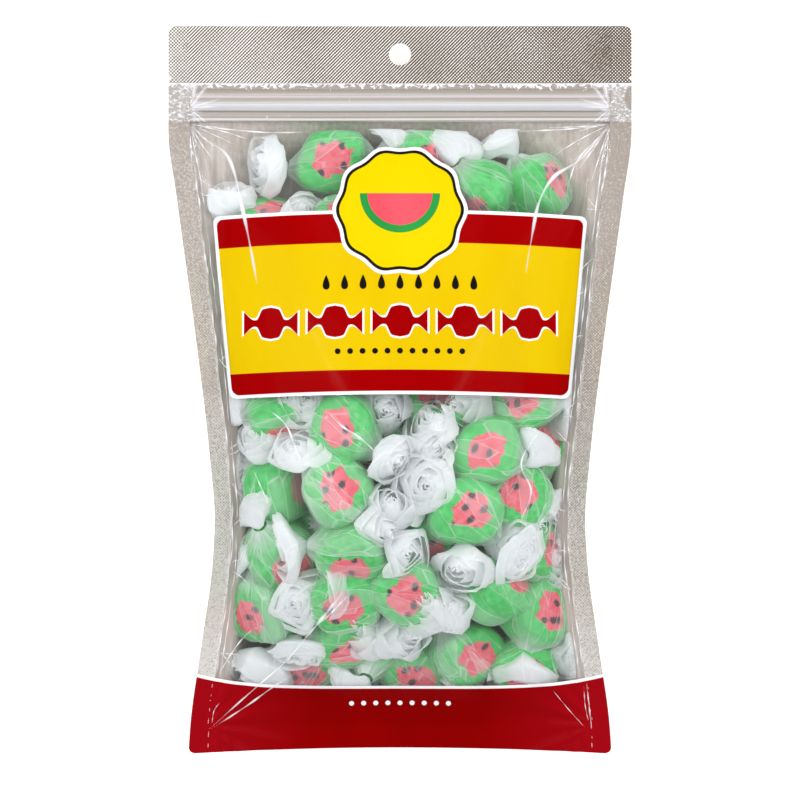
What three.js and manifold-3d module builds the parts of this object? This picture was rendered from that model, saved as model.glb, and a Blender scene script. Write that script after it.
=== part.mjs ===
// Salt water taffy: wrapped pieces sealed in a flat resealable pouch with a clear front and a silver back.
// The pouch can't stand, so it lies on its back with its front up. Millimetres, +Z up.
// +Y runs from the bottom weld to the header, +X to the right of the front.
// Origin: on the resting plane, at the centre of the pouch's outline.

import * as THREE from 'three';
import { mergeVertices } from 'three/addons/utils/BufferGeometryUtils.js';
import Module from 'manifold-3d';

const wasm = await Module();
wasm.setup();

// Pouch outline. Its flat width is 165 mm, and the filling draws the sides in to a waist.
const TOP = 128.6;
const BOTTOM = -128.6;
const CORNER_RADIUS = 2.4;
const OUTLINE_HALF_WIDTH = [
  [-128.6, 74.3], [-116.7, 73.4], [-88.6, 69.3], [-60.4, 65.5], [-46.4, 64.8],
  [-25.4, 66.4], [16.7, 71.5], [66.5, 78.9], [92, 82.3], [128.6, 82.3],
];

// Welds round the edge
const SIDE_WELD = 7.4;
const HEADER_FOOT = 108.3;
const ZIP_TOP = 108;
const ZIP_FOOT = 94.5;
const WINDOW_TOP = 94.2;

// Film thicknesses are drawn a little heavier than the real 0.1 mm, so that the sheets stay solid.
const BACK_SHEET = 0.5;
const FRONT_SHEET = 0.5;
const HEADER_SHEET = 1;
const GAP = 0.3;

// Heights above the resting plane along the pouch, as [y, height] stations
const MIDDLE_HEIGHT = [
  [-128.6, 8], [-121, 9], [-105, 14], [-80, 23], [-46, 27],
  [0, 26], [50, 21], [70, 18], [92, 15], [128.6, 14],
];
const SEAM_HEIGHT = [
  [-128.6, 26], [-116.7, 26.5], [-88.6, 27.5], [-46.4, 29], [-4.4, 28.5], [16.7, 27], [45, 22],
  [66.5, 18.5], [92, 15.5], [128.6, 15],
];
const FRONT_CROWN = [
  [-128.6, 9], [-121, 10.2], [-113, 15], [-105.4, 22.5], [-95, 33], [-85, 42],
  [-70, 51], [-55, 56], [-40, 58], [-10, 56], [20, 51], [50, 42.5],
  [70, 34], [82, 27], [88, 22], [95, 16.6], [128.6, 15],
];
const BACK_DEPTH = [
  [-121, 0], [-114, 9], [-105, 22], [-90, 36], [-60, 48],
  [0, 48], [50, 36], [70, 24], [80, 15], [88, 7], [96, 0],
];
const WELD_TILT_DEG = [
  [-128.6, 28], [-88.6, 38], [-46.4, 42], [16.7, 35], [66.5, 15], [92, 0], [128.6, 0],
];
const SHOULDER_Y = -99;
const CROWN_POWER = 2.4;
const FLOOR_BLEND = 4;

// Hang hole and tear notches
const HANG_HOLE_RADIUS = 3.95;
const HANG_HOLE_Y = 118.6;
const NOTCH_Y = 110;
const NOTCH_DEPTH = 1.2;
const NOTCH_HALF_HEIGHT = 0.8;

// Zip: ridges that run right across, as [y, height, half thickness]
const ZIP_RIDGES = [
  [95.2, 0.5, 0.5], [96.6, 0.7, 0.6], [99.8, 1.5, 1.9], [104.6, 0.5, 0.7],
];
const ZIP_HALF_LENGTH = 74.7;
const ZIP_CRUSH = 4;

// Wrapped pieces that press on the front film. They lie in staggered rows.
const PIECE_LENGTH = 26;
const PIECE_WIDTH = 21;
const PIECE_PITCH = 25.5;
const PIECE_ROW_TOP = -18;
const PIECE_ROW_PITCH = 21.5;
const PIECE_ROWS = 4;
const PIECE_PRESS = 2.6;
const TOP_PIECES_Y = 77;
const TOP_PIECES_X = 47;
const PLACE_JITTER = 2;

// Print on the front film. Each field is a thin skin, and each layer lies on the one before it.
const PRINT_THICKNESS = 0.3;
const PRINT_LIFT = 0.35;
const LABEL_TOP = 62;
const LABEL_FOOT = -2.4;
const LABEL_SAG = 1.6;
const LABEL_TOP_HALF = 66.2;
const LABEL_FOOT_HALF = 59.8;
const LABEL_RADIUS = 2.6;
const LABEL_MARGIN = 1.2;
const LABEL_ROW = 16;
const TOP_BAND_FOOT = 50.4;
const FOOT_BAND_TOP = 6.1;
const FIELD_GAP = 0.3;
const BADGE_Y = 62;
const BADGE_RADIUS = 23;
const BADGE_RIM = 1.3;
const BADGE_SCALLOPS = 10;
const BADGE_SCALLOP_DEPTH = 0.03;
const MELON_RADIUS = 14;
const MELON_RIND = 2.6;
const MARK_COUNT = 5;
const MARK_Y = 23;
const MARK_PITCH = 22.5;
const MARK_LENGTH = 19;
const MARK_HEIGHT = 11;
const BAND_TOP_MIDDLE = -105.4;
const BAND_TOP_RISE = 5;
const BAND_LINE = 1.1;

// Smooth curve through stations, without overshoot: cubic pieces whose slopes are harmonic means.
function through(stations) {
  const slope = (i) => (stations[i + 1][1] - stations[i][1]) / (stations[i + 1][0] - stations[i][0]);
  const last = stations.length - 1;
  const tangent = (i) => {
    if (i === 0 || i === last) return slope(i === 0 ? 0 : last - 1);
    const product = slope(i - 1) * slope(i);
    return product <= 0 ? 0 : (2 * product) / (slope(i - 1) + slope(i));
  };
  return (at) => {
    const y = THREE.MathUtils.clamp(at, stations[0][0], stations[last][0]);
    let i = 0;
    while (i < last - 1 && y > stations[i + 1][0]) i += 1;
    const span = stations[i + 1][0] - stations[i][0];
    const t = (y - stations[i][0]) / span;
    const rise = t * t * (3 - 2 * t);
    return stations[i][1] * (1 - rise) + stations[i + 1][1] * rise
      + span * (tangent(i) * t * (1 - t) ** 2 - tangent(i + 1) * t * t * (1 - t));
  };
}

const outlineHalf = through(OUTLINE_HALF_WIDTH);
const middleHeight = through(MIDDLE_HEIGHT);
const seamHeight = through(SEAM_HEIGHT);
const frontCrown = through(FRONT_CROWN);
const backDepth = through(BACK_DEPTH);
const weldTiltDeg = through(WELD_TILT_DEG);

const weldTilt = (y) => THREE.MathUtils.degToRad(weldTiltDeg(y));
const seamHalf = (y) => outlineHalf(y) - SIDE_WELD * Math.cos(weldTilt(y));

// How far a rounded corner of radius r draws the side in at distance d from the end.
function cornerInset(r, d) {
  return d >= r ? 0 : r - Math.sqrt(Math.max(0, r * r - (r - d) ** 2));
}

function trimmedHalf(y) {
  return outlineHalf(y) - cornerInset(CORNER_RADIUS, Math.min(TOP - y, y - BOTTOM));
}

// Height of the plane where the two films meet: bowed up to the seams, then tilted along the side welds.
function meetingHeight(x, y) {
  const seam = seamHalf(y);
  const across = Math.min(1, Math.abs(x) / seam);
  const inner = middleHeight(y) + (seamHeight(y) - middleHeight(y)) * across ** 2;
  return inner + Math.max(0, Math.abs(x) - seam) * Math.tan(weldTilt(y));
}

// How full the pouch is at a place: 1 along its middle, 0 at the seams.
function fullness(x, y) {
  return 1 - Math.min(1, Math.abs(x) / seamHalf(y)) ** CROWN_POWER;
}

// Underside: hangs below the meeting plane, and lies flat where it would pass the resting plane.
function underside(x, y) {
  const hanging = meetingHeight(x, y) - BACK_SHEET - backDepth(y) * fullness(x, y);
  if (hanging >= FLOOR_BLEND) return hanging;
  return hanging <= -FLOOR_BLEND ? 0 : (hanging + FLOOR_BLEND) ** 2 / (4 * FLOOR_BLEND);
}

// Places of the wrapped pieces that show under the clear film, in staggered rows with seeded scatter.
function piecePlaces() {
  let seed = 7;
  const draw = () => {
    seed = (seed * 16807) % 2147483647;
    return seed / 2147483647 - 0.5;
  };
  const places = [-1, 1].map((side) => ({ x: side * TOP_PIECES_X, y: TOP_PIECES_Y, turn: side * 0.5 }));
  for (let row = 0; row < PIECE_ROWS; row += 1) {
    const count = row % 2 === 0 ? 4 : 5;
    for (let i = 0; i < count; i += 1) {
      places.push({
        x: (i - (count - 1) / 2) * PIECE_PITCH + 2 * PLACE_JITTER * draw(),
        y: PIECE_ROW_TOP - PIECE_ROW_PITCH * row + 2 * PLACE_JITTER * draw(),
        turn: Math.PI * draw(),
      });
    }
  }
  return places;
}

const pieces = piecePlaces();

// Rise of the film over the nearest wrapped piece: a smooth oval dome.
function pieceRise(x, y) {
  let rise = 0;
  for (const piece of pieces) {
    const dx = x - piece.x;
    const dy = y - piece.y;
    const along = (dx * Math.cos(piece.turn) + dy * Math.sin(piece.turn)) / (PIECE_LENGTH / 2);
    const beside = (dy * Math.cos(piece.turn) - dx * Math.sin(piece.turn)) / (PIECE_WIDTH / 2);
    rise = Math.max(rise, (1 - along * along - beside * beside) * PIECE_PRESS);
  }
  return rise;
}

// Front film: the crown over the meeting plane, with the wrapped pieces pressing on it.
function frontSurface(x, y) {
  const base = GAP + FRONT_SHEET;
  const crown = frontCrown(y) - middleHeight(y) - base;
  const full = fullness(x, y);
  return meetingHeight(x, y) + base + Math.max(0, crown) * full + pieceRise(x, y) * Math.min(1, 2 * full);
}

function steps(from, to, count) {
  return Array.from({ length: count + 1 }, (_, i) => from + ((to - from) * i) / count);
}

// Closed plate over a grid: place(c, t) gives [x, y], and the two faces are heights over it.
function plate(columns, rows, place, topFace, bottomFace) {
  const across = columns.length;
  const layer = across * rows.length;
  const positions = [];
  for (const face of [topFace, bottomFace]) {
    for (const t of rows) {
      for (const c of columns) {
        const [x, y] = place(c, t);
        positions.push(x, y, face(x, y));
      }
    }
  }
  const triangles = [];
  const quad = (a, b, c, d) => triangles.push(a, b, c, a, c, d);
  for (let j = 0; j < rows.length - 1; j += 1) {
    for (let i = 0; i < across - 1; i += 1) {
      const a = j * across + i;
      quad(a, a + 1, a + across + 1, a + across);
      quad(layer + a, layer + a + across, layer + a + across + 1, layer + a + 1);
    }
  }
  const rim = [];
  for (let i = 0; i < across - 1; i += 1) rim.push(i);
  for (let j = 0; j < rows.length - 1; j += 1) rim.push(j * across + across - 1);
  for (let i = across - 1; i > 0; i -= 1) rim.push((rows.length - 1) * across + i);
  for (let j = rows.length - 1; j > 0; j -= 1) rim.push(j * across);
  rim.forEach((a, k) => {
    const b = rim[(k + 1) % rim.length];
    quad(a, layer + a, layer + b, b);
  });
  const geometry = new THREE.BufferGeometry();
  geometry.setAttribute('position', new THREE.Float32BufferAttribute(positions, 3));
  geometry.setIndex(triangles);
  return geometry;
}

// Columns run from -1 to 1 across the outline. The outer share on each side is the side weld.
const WELD_SHARE = 0.1;
function outlineColumns(inner, weld) {
  const seam = 1 - WELD_SHARE;
  const left = steps(-1, -seam, weld).slice(0, -1);
  return [...left, ...steps(-seam, seam, inner), ...left.map((c) => -c).reverse()];
}

function onOutline(c, y) {
  const seam = 1 - WELD_SHARE;
  const inside = Math.min(1, Math.abs(c) / seam) * seamHalf(y);
  const beyond = Math.max(0, (Math.abs(c) - seam) / WELD_SHARE) * (trimmedHalf(y) - seamHalf(y));
  return [Math.sign(c) * (inside + beyond), y];
}

// Rows that also catch a rounded corner of radius r at one end.
function cornerRows(end, inward, r) {
  return [0, 0.12, 0.45, 1].map((share) => end + inward * r * share);
}

function solidOf(geometry) {
  const bare = geometry.clone();
  bare.deleteAttribute('normal');
  bare.deleteAttribute('uv');
  const merged = mergeVertices(bare, 1e-5);
  return new wasm.Manifold(new wasm.Mesh({
    numProp: 3,
    vertProperties: new Float32Array(merged.attributes.position.array),
    triVerts: new Uint32Array(merged.index.array),
  }));
}

function geometryOf(solid) {
  const mesh = solid.getMesh();
  const geometry = new THREE.BufferGeometry();
  geometry.setAttribute('position', new THREE.BufferAttribute(new Float32Array(mesh.vertProperties), 3));
  geometry.setIndex(new THREE.BufferAttribute(new Uint32Array(mesh.triVerts), 1));
  return geometry;
}

// Back film: silver sheet with the welded edges, filled up to the plane where the two films meet.
function backFilm() {
  const rows = [...cornerRows(BOTTOM, 1, CORNER_RADIUS), ...steps(BOTTOM + 7, ZIP_TOP, 23)];
  return plate(outlineColumns(18, 1), rows, onOutline, meetingHeight, (x, y) => (
    Math.min(underside(x, y), meetingHeight(x, y) - BACK_SHEET)));
}

// Front film and the filling that shows through it
function frontFilm() {
  const foot = steps(BOTTOM + CORNER_RADIUS, SHOULDER_Y, 8).slice(1);
  const body = steps(SHOULDER_Y, WINDOW_TOP, 30).slice(1);
  const rows = [...cornerRows(BOTTOM, 1, CORNER_RADIUS), ...foot, ...body];
  return plate(outlineColumns(26, 1), rows, onOutline, frontSurface, (x, y) => meetingHeight(x, y) + GAP);
}

// Zip: the front sheet between header and window, with its closing ridges. The ends are crushed flat.
function zipStrip() {
  const ridgeRows = ZIP_RIDGES.flatMap(([at, , half]) => [at - half, at, at + half]);
  const ridge = (x, y) => {
    const uncrushed = THREE.MathUtils.clamp((ZIP_HALF_LENGTH - Math.abs(x)) / ZIP_CRUSH, 0, 1);
    const rises = ZIP_RIDGES.map(([at, height, half]) => height * Math.max(0, 1 - ((y - at) / half) ** 2));
    return uncrushed * Math.max(...rises);
  };
  const rows = [ZIP_FOOT, ...ridgeRows, ZIP_TOP];
  return plate(outlineColumns(14, 1), rows, onOutline,
    (x, y) => meetingHeight(x, y) + GAP + FRONT_SHEET + ridge(x, y),
    (x, y) => meetingHeight(x, y) + GAP);
}

// Header: both films welded flat, with the hang hole and a tear notch in each side
function headerWeld() {
  const corners = cornerRows(TOP, -1, CORNER_RADIUS).reverse();
  const sheet = plate(outlineColumns(10, 1), [HEADER_FOOT, HANG_HOLE_Y, ...corners], onOutline,
    (x, y) => meetingHeight(x, y) + HEADER_SHEET / 2, (x, y) => meetingHeight(x, y) - HEADER_SHEET / 2);
  const punch = new THREE.CylinderGeometry(HANG_HOLE_RADIUS, HANG_HOLE_RADIUS, 30, 32);
  punch.rotateX(Math.PI / 2);
  punch.translate(0, HANG_HOLE_Y, middleHeight(HANG_HOLE_Y));
  let header = solidOf(sheet).subtract(solidOf(punch));
  for (const side of [-1, 1]) {
    const edge = outlineHalf(NOTCH_Y);
    const vee = new THREE.Shape([
      new THREE.Vector2(edge - NOTCH_DEPTH, NOTCH_Y),
      new THREE.Vector2(edge + NOTCH_DEPTH, NOTCH_Y + 2 * NOTCH_HALF_HEIGHT),
      new THREE.Vector2(edge + NOTCH_DEPTH, NOTCH_Y - 2 * NOTCH_HALF_HEIGHT),
    ]);
    const notch = new THREE.ExtrudeGeometry(vee, { depth: 30, bevelEnabled: false });
    if (side < 0) notch.rotateY(Math.PI);
    notch.translate(0, 0, side < 0 ? 30 : 0);
    header = header.subtract(solidOf(notch));
  }
  return geometryOf(header);
}

// Printed skin on the front film: layer 0 lies on the film, and the others each on the one below.
function printed(columns, rows, place, layer) {
  const lift = PRINT_LIFT + layer * (PRINT_LIFT + PRINT_THICKNESS);
  return plate(columns, rows, place,
    (x, y) => frontSurface(x, y) + lift + PRINT_THICKNESS, (x, y) => frontSurface(x, y) + lift);
}

// Label frame: t runs from 0 at its foot to 1 at its top, and c from -1 to 1 between its slanted sides.
// Both ends sag a little, because the film is drawn round the crown.
function onLabel(c, y, inset) {
  const t = (y - LABEL_FOOT) / (LABEL_TOP - LABEL_FOOT);
  const half = LABEL_FOOT_HALF + (LABEL_TOP_HALF - LABEL_FOOT_HALF) * t - inset;
  const ends = Math.min(LABEL_TOP - inset - y, y - LABEL_FOOT - inset);
  return [c * (half - cornerInset(LABEL_RADIUS, ends)), y - LABEL_SAG * c * c];
}

function labelField(foot, top, inset, layer) {
  const nearFoot = foot < LABEL_FOOT + 2 ? cornerRows(foot, 1, LABEL_RADIUS) : [foot];
  const nearTop = top > LABEL_TOP - 2 ? cornerRows(top, -1, LABEL_RADIUS).reverse() : [top];
  const low = nearFoot.at(-1);
  const inner = steps(low, nearTop[0], Math.ceil((nearTop[0] - low) / LABEL_ROW)).slice(1, -1);
  const rows = [...nearFoot, ...inner, ...nearTop];
  return printed(steps(-1, 1, 20), rows, (c, y) => onLabel(c, y, inset), layer);
}

// A square grid drawn onto a disc, so that the disc has no pole.
// Each edge of the grid becomes a quarter arc.
function onDisc(c, t) {
  return [c * Math.sqrt(1 - (t * t) / 2), t * Math.sqrt(1 - (c * c) / 2)];
}

function badgeDisc(radius, layer) {
  const place = (c, t) => {
    const [u, v] = onDisc(c, t);
    const wave = Math.cos(BADGE_SCALLOPS * Math.atan2(v, u)) * Math.hypot(u, v) ** 8;
    const scallop = 1 + BADGE_SCALLOP_DEPTH * wave;
    return [radius * scallop * u, BADGE_Y + radius * scallop * v];
  };
  return printed(steps(-1, 1, 10), steps(-1, 1, 10), place, layer);
}

// Melon wedge on the badge: a half disc hanging from its flat top.
// inner and outer are shares of its radius.
function melonPart(inner, outer, layer) {
  const place = (c, t) => {
    const angle = (-Math.PI * (1 + c)) / 2;
    const r = MELON_RADIUS * (inner + (outer - inner) * t);
    return [r * Math.cos(angle), BADGE_Y + MELON_RADIUS * 0.42 + r * Math.sin(angle)];
  };
  return printed(steps(-1, 1, 10), steps(0, 1, 2), place, layer);
}

// Printed candy mark: an oval body that runs out into a fan at each end
function candyMark(index) {
  const middle = (index - (MARK_COUNT - 1) / 2) * MARK_PITCH;
  const outline = through([[0, 1], [0.3, 0.88], [0.52, 0.22], [0.6, 0.2], [1, 0.72]]);
  const place = (c, t) => [
    middle + (c * MARK_LENGTH) / 2,
    MARK_Y + (t * outline(Math.abs(c)) * MARK_HEIGHT) / 2 - LABEL_SAG * (middle / LABEL_TOP_HALF) ** 2,
  ];
  return printed([-1, -0.75, -0.56, -0.4, -0.2, 0, 0.2, 0.4, 0.56, 0.75, 1], [-1, 0, 1], place, 2);
}

// Printed foot of the pouch: from the bottom edge up to a line that rises towards the sides
const bandTop = (c) => BAND_TOP_MIDDLE + BAND_TOP_RISE * c ** 4;

function footBand() {
  const place = (c, t) => onOutline(c, BOTTOM + (bandTop(c) - BAND_LINE - BOTTOM) * t);
  const reach = BAND_TOP_MIDDLE - BOTTOM;
  const rows = [...cornerRows(0, 1, CORNER_RADIUS).map((d) => d / reach), ...steps(0.2, 1, 7)];
  return printed(outlineColumns(20, 1), rows, place, 0);
}

function footBandLine() {
  const place = (c, t) => onOutline(c, bandTop(c) - BAND_LINE + 0.3 + BAND_LINE * t);
  return printed(outlineColumns(20, 1), [0, 1], place, 0);
}

function named(name, geometry, color, roughness, metalness) {
  const mesh = new THREE.Mesh(geometry, new THREE.MeshStandardMaterial({ color, roughness, metalness }));
  mesh.name = name;
  return mesh;
}

const PRINT_GLOSS = 0.3;
const SILVER = '#b3aca2';
const CLEAR = '#c9d8c6';
const WHITE = '#f6f5f1';
const RED = '#b0000c';
const YELLOW = '#fcd017';
const GREEN = '#2f9a45';
const PINK = '#ea4d5e';

const pouch = new THREE.Group();
pouch.add(named('back_film', backFilm(), SILVER, 0.35, 0.8));
pouch.add(named('header_weld', headerWeld(), SILVER, 0.4, 0.8));
pouch.add(named('zip_strip', zipStrip(), CLEAR, 0.2, 0));
pouch.add(named('front_film', frontFilm(), CLEAR, 0.15, 0));

const print = new THREE.Group();
function addPrint(name, geometry, color) {
  print.add(named(name, geometry, color, PRINT_GLOSS, 0));
}
const margin = LABEL_MARGIN;
addPrint('label_sheet', labelField(LABEL_FOOT, LABEL_TOP, 0, 0), WHITE);
addPrint('label_top_band', labelField(TOP_BAND_FOOT + FIELD_GAP, LABEL_TOP - margin, margin, 1), RED);
addPrint('label_field', labelField(FOOT_BAND_TOP + FIELD_GAP, TOP_BAND_FOOT, margin, 1), YELLOW);
addPrint('label_foot_band', labelField(LABEL_FOOT + margin, FOOT_BAND_TOP, margin, 1), RED);
addPrint('badge_rim', badgeDisc(BADGE_RADIUS, 2), WHITE);
addPrint('badge_ground', badgeDisc(BADGE_RADIUS - BADGE_RIM, 3), YELLOW);
const fleshShare = 1 - MELON_RIND / MELON_RADIUS;
addPrint('badge_melon_flesh', melonPart(0.02, fleshShare - 0.02, 4), PINK);
addPrint('badge_melon_rind', melonPart(fleshShare + 0.01, 1, 4), GREEN);
for (let index = 0; index < MARK_COUNT; index += 1) {
  addPrint(`candy_mark_${index + 1}`, candyMark(index), RED);
}
addPrint('foot_band', footBand(), RED);
addPrint('foot_band_line', footBandLine(), WHITE);
pouch.add(print);

export default pouch;
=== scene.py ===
"""Salt water taffy: wrapped pieces in a flat resealable pouch with a clear front and a silver back.

The pouch lies on its back with its front up. Sizes and places in this file are in millimetres,
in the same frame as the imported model: +Y from the bottom weld to the header, +Z up.
"""

import logging
import math
from dataclasses import dataclass, field
from enum import Enum
from typing import Callable, Optional, Union

import bpy
import numpy as np
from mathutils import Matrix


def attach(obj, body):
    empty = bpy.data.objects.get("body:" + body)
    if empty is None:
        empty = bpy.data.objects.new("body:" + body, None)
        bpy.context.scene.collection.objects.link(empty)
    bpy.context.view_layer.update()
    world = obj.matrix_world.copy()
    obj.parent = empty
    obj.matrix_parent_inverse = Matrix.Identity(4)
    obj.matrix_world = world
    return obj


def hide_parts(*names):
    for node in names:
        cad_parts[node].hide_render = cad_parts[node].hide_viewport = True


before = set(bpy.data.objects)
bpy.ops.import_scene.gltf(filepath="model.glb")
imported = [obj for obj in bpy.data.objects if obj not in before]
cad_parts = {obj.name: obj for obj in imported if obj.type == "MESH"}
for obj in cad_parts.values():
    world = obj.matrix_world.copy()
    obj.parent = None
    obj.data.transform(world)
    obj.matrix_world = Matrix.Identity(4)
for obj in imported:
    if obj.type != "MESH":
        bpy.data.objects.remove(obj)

LOG = logging.getLogger("taffy")
MM = 0.001
Feed = Union[float, tuple, bpy.types.NodeSocket, bpy.types.Node]


def linear(hex_colour: str) -> tuple[float, float, float, float]:
    """Turn an sRGB hex colour into the linear values that shaders use.

    Args:
        hex_colour: six hex digits after a hash sign.

    Returns:
        Linear red, green and blue, with full alpha.
    """
    shares = [int(hex_colour[i:i + 2], 16) / 255 for i in (1, 3, 5)]
    values = [s / 12.92 if s <= 0.04045 else ((s + 0.055) / 1.055) ** 2.4 for s in shares]
    return (values[0], values[1], values[2], 1.0)


def smooth(low: float, high: float, at: np.ndarray) -> np.ndarray:
    """Ease from 0 at low to 1 at high, flat at both ends."""
    t = np.clip((at - low) / (high - low), 0, 1)
    return t * t * (3 - 2 * t)


def pressed(depth: np.ndarray, soft: np.ndarray) -> np.ndarray:
    """Depth behind a film: kept past soft, and fading towards zero, never past it, before that."""
    return np.where(depth > soft, depth, soft * np.exp(np.minimum(depth - soft, 0) / soft))


def unit(vectors: np.ndarray) -> np.ndarray:
    """Scale vectors on the last axis to length 1."""
    return vectors / np.maximum(np.linalg.norm(vectors, axis=-1, keepdims=True), 1e-9)


def add(tree: bpy.types.NodeTree, kind: str, feeds: Optional[dict[Union[str, int], Feed]] = None,
        **settings: object) -> bpy.types.Node:
    """Add a node with its settings, and fill its sockets.

    Args:
        tree: node tree that gets the node.
        kind: Blender's name for the node type.
        feeds: for each socket's name or index, a value, another node's output, or another node,
            which stands for its first output in use.
        settings: properties of the node itself.

    Returns:
        The new node.
    """
    made = tree.nodes.new(kind)
    for name, value in settings.items():
        setattr(made, name, value)
    for socket, value in (feeds or {}).items():
        if isinstance(value, bpy.types.Node):
            value = next(output for output in value.outputs if output.enabled)
        if isinstance(value, bpy.types.NodeSocket):
            tree.links.new(value, made.inputs[socket])
        else:
            made.inputs[socket].default_value = value
    return made


@dataclass(frozen=True)
class Stations:
    """Smooth curve through [place, value] stations, without overshoot."""

    pairs: tuple[tuple[float, float], ...]

    def at(self, place: np.ndarray) -> np.ndarray:
        """Values at the given places.

        Cubic pieces between stations. The slope at an inner station is the harmonic mean of the
        slopes on its two sides, or 0 where they differ in sign.
        """
        xs, ys = np.array(self.pairs, dtype=float).T
        slopes = np.diff(ys) / np.diff(xs)
        before, after = slopes[:-1], slopes[1:]
        rising = before * after > 0
        total = np.where(rising, before + after, 1)
        inner = np.where(rising, 2 * before * after / total, 0)
        tangents = np.concatenate([slopes[:1], inner, slopes[-1:]])
        y = np.clip(place, xs[0], xs[-1])
        i = np.clip(np.searchsorted(xs, y, side="left") - 1, 0, len(xs) - 2)
        span = xs[i + 1] - xs[i]
        t = (y - xs[i]) / span
        rise = t * t * (3 - 2 * t)
        bend = tangents[i] * t * (1 - t) ** 2 - tangents[i + 1] * t * t * (1 - t)
        return ys[i] * (1 - rise) + ys[i + 1] * rise + span * bend


@dataclass(frozen=True)
class PouchForm:
    """Form of the filled pouch, the same as the solids have, with the creases of thin film added."""

    top: float = 128.6
    bottom: float = -128.6
    corner_radius: float = 2.4
    side_weld: float = 7.4
    zip_top: float = 108.0
    zip_foot: float = 94.5
    window_top: float = 94.2
    weld_share: float = 0.1
    crown_power: float = 2.4
    floor_blend: float = 4.0
    sheet: float = 0.5
    gap: float = 0.3
    back_sheet: float = 0.35
    margin_slope: float = 0.3
    margin_width: float = 4.5
    margin_fade: float = 4.0
    ripple_height: float = 0.16
    ripple_reach: float = 10.0
    ripple_pitch: float = 4.6
    zip_ripple_y: float = 91.0
    zip_ripple_reach: float = 6.0
    zip_ripple_pitch: float = 3.4
    crease_corners: tuple = ((74.5, 92.5, 0.38, 34, 17), (69.0, -119.0, 0.45, 40, 15))
    outline: Stations = Stations((
        (-128.6, 74.3), (-116.7, 73.4), (-88.6, 69.3), (-60.4, 65.5), (-46.4, 64.8),
        (-25.4, 66.4), (16.7, 71.5), (66.5, 78.9), (92, 82.3), (128.6, 82.3)))
    middle_height: Stations = Stations((
        (-128.6, 8), (-121, 9), (-105, 14), (-80, 23), (-46, 27),
        (0, 26), (50, 21), (70, 18), (92, 15), (128.6, 14)))
    seam_height: Stations = Stations((
        (-128.6, 26), (-116.7, 26.5), (-88.6, 27.5), (-46.4, 29), (-4.4, 28.5), (16.7, 27),
        (45, 22), (66.5, 18.5), (92, 15.5), (128.6, 15)))
    front_crown: Stations = Stations((
        (-128.6, 9), (-121, 10.2), (-113, 15), (-105.4, 22.5), (-95, 33), (-85, 42),
        (-70, 51), (-55, 56), (-40, 58), (-10, 56), (20, 51), (50, 42.5),
        (70, 34), (82, 27), (88, 22), (95, 16.6), (128.6, 15)))
    back_depth: Stations = Stations((
        (-121, 0), (-114, 9), (-105, 22), (-90, 36), (-60, 48),
        (0, 48), (50, 36), (70, 24), (80, 15), (88, 7), (96, 0)))
    weld_tilt_deg: Stations = Stations((
        (-128.6, 28), (-88.6, 38), (-46.4, 42), (16.7, 35), (66.5, 15), (92, 0), (128.6, 0)))

    def tilt(self, y: np.ndarray) -> np.ndarray:
        """Tilt of the side welds, in radians."""
        return np.radians(self.weld_tilt_deg.at(y))

    def seam_half(self, y: np.ndarray) -> np.ndarray:
        """Half the distance between the inner edges of the two side welds."""
        return self.outline.at(y) - self.side_weld * np.cos(self.tilt(y))

    def trimmed_half(self, y: np.ndarray) -> np.ndarray:
        """Half width of the outline, with its rounded corners."""
        ends = np.minimum(self.top - y, y - self.bottom)
        return self.outline.at(y) - corner_inset(self.corner_radius, ends)

    def meeting(self, x: np.ndarray, y: np.ndarray) -> np.ndarray:
        """Height at which the two films meet: bowed up to the seams, then tilted along the welds."""
        seam = self.seam_half(y)
        across = np.minimum(1, np.abs(x) / seam)
        middle = self.middle_height.at(y)
        inner = middle + (self.seam_height.at(y) - middle) * across ** 2
        return inner + np.maximum(0, np.abs(x) - seam) * np.tan(self.tilt(y))

    def fullness(self, x: np.ndarray, y: np.ndarray) -> np.ndarray:
        """How full the pouch is: 1 along its middle, 0 at the seams."""
        return 1 - np.minimum(1, np.abs(x) / self.seam_half(y)) ** self.crown_power

    def underside(self, x: np.ndarray, y: np.ndarray) -> np.ndarray:
        """Underside: hangs below the meeting height, and lies flat on the resting plane."""
        hanging = self.meeting(x, y) - self.sheet - self.back_depth.at(y) * self.fullness(x, y)
        eased = (hanging + self.floor_blend) ** 2 / (4 * self.floor_blend)
        flat = np.where(hanging <= -self.floor_blend, 0, eased)
        return np.where(hanging >= self.floor_blend, hanging, flat)

    def lining(self, x: np.ndarray, y: np.ndarray) -> np.ndarray:
        """Inner face of the back: its underside, but held up in a flat margin beside each seam.

        The margin falls away from the seam at an even slope, and then drops to the underside.
        """
        low = self.underside(x, y) + self.back_sheet
        inside = np.maximum(0, self.seam_half(y) - np.abs(x))
        margin = self.meeting(x, y) - 0.15 - self.margin_slope * inside
        share = 1 - smooth(self.margin_width, self.margin_width + self.margin_fade, inside)
        return low + np.maximum(0, margin - low) * share

    def crown(self, x: np.ndarray, y: np.ndarray) -> np.ndarray:
        """Front film as it would lie over an even filling."""
        base = self.gap + self.sheet
        crown = self.front_crown.at(y) - self.middle_height.at(y) - base
        return self.meeting(x, y) + base + np.maximum(0, crown) * self.fullness(x, y)

    def on_outline(self, c: np.ndarray, y: np.ndarray) -> np.ndarray:
        """Sideways place of column c, which runs from -1 to 1 with the welds as its outer shares."""
        seam_share = 1 - self.weld_share
        seam = self.seam_half(y)
        inside = np.minimum(1, np.abs(c) / seam_share) * seam
        beyond = np.maximum(0, (np.abs(c) - seam_share) / self.weld_share)
        return np.sign(c) * (inside + beyond * (self.trimmed_half(y) - seam))

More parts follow.
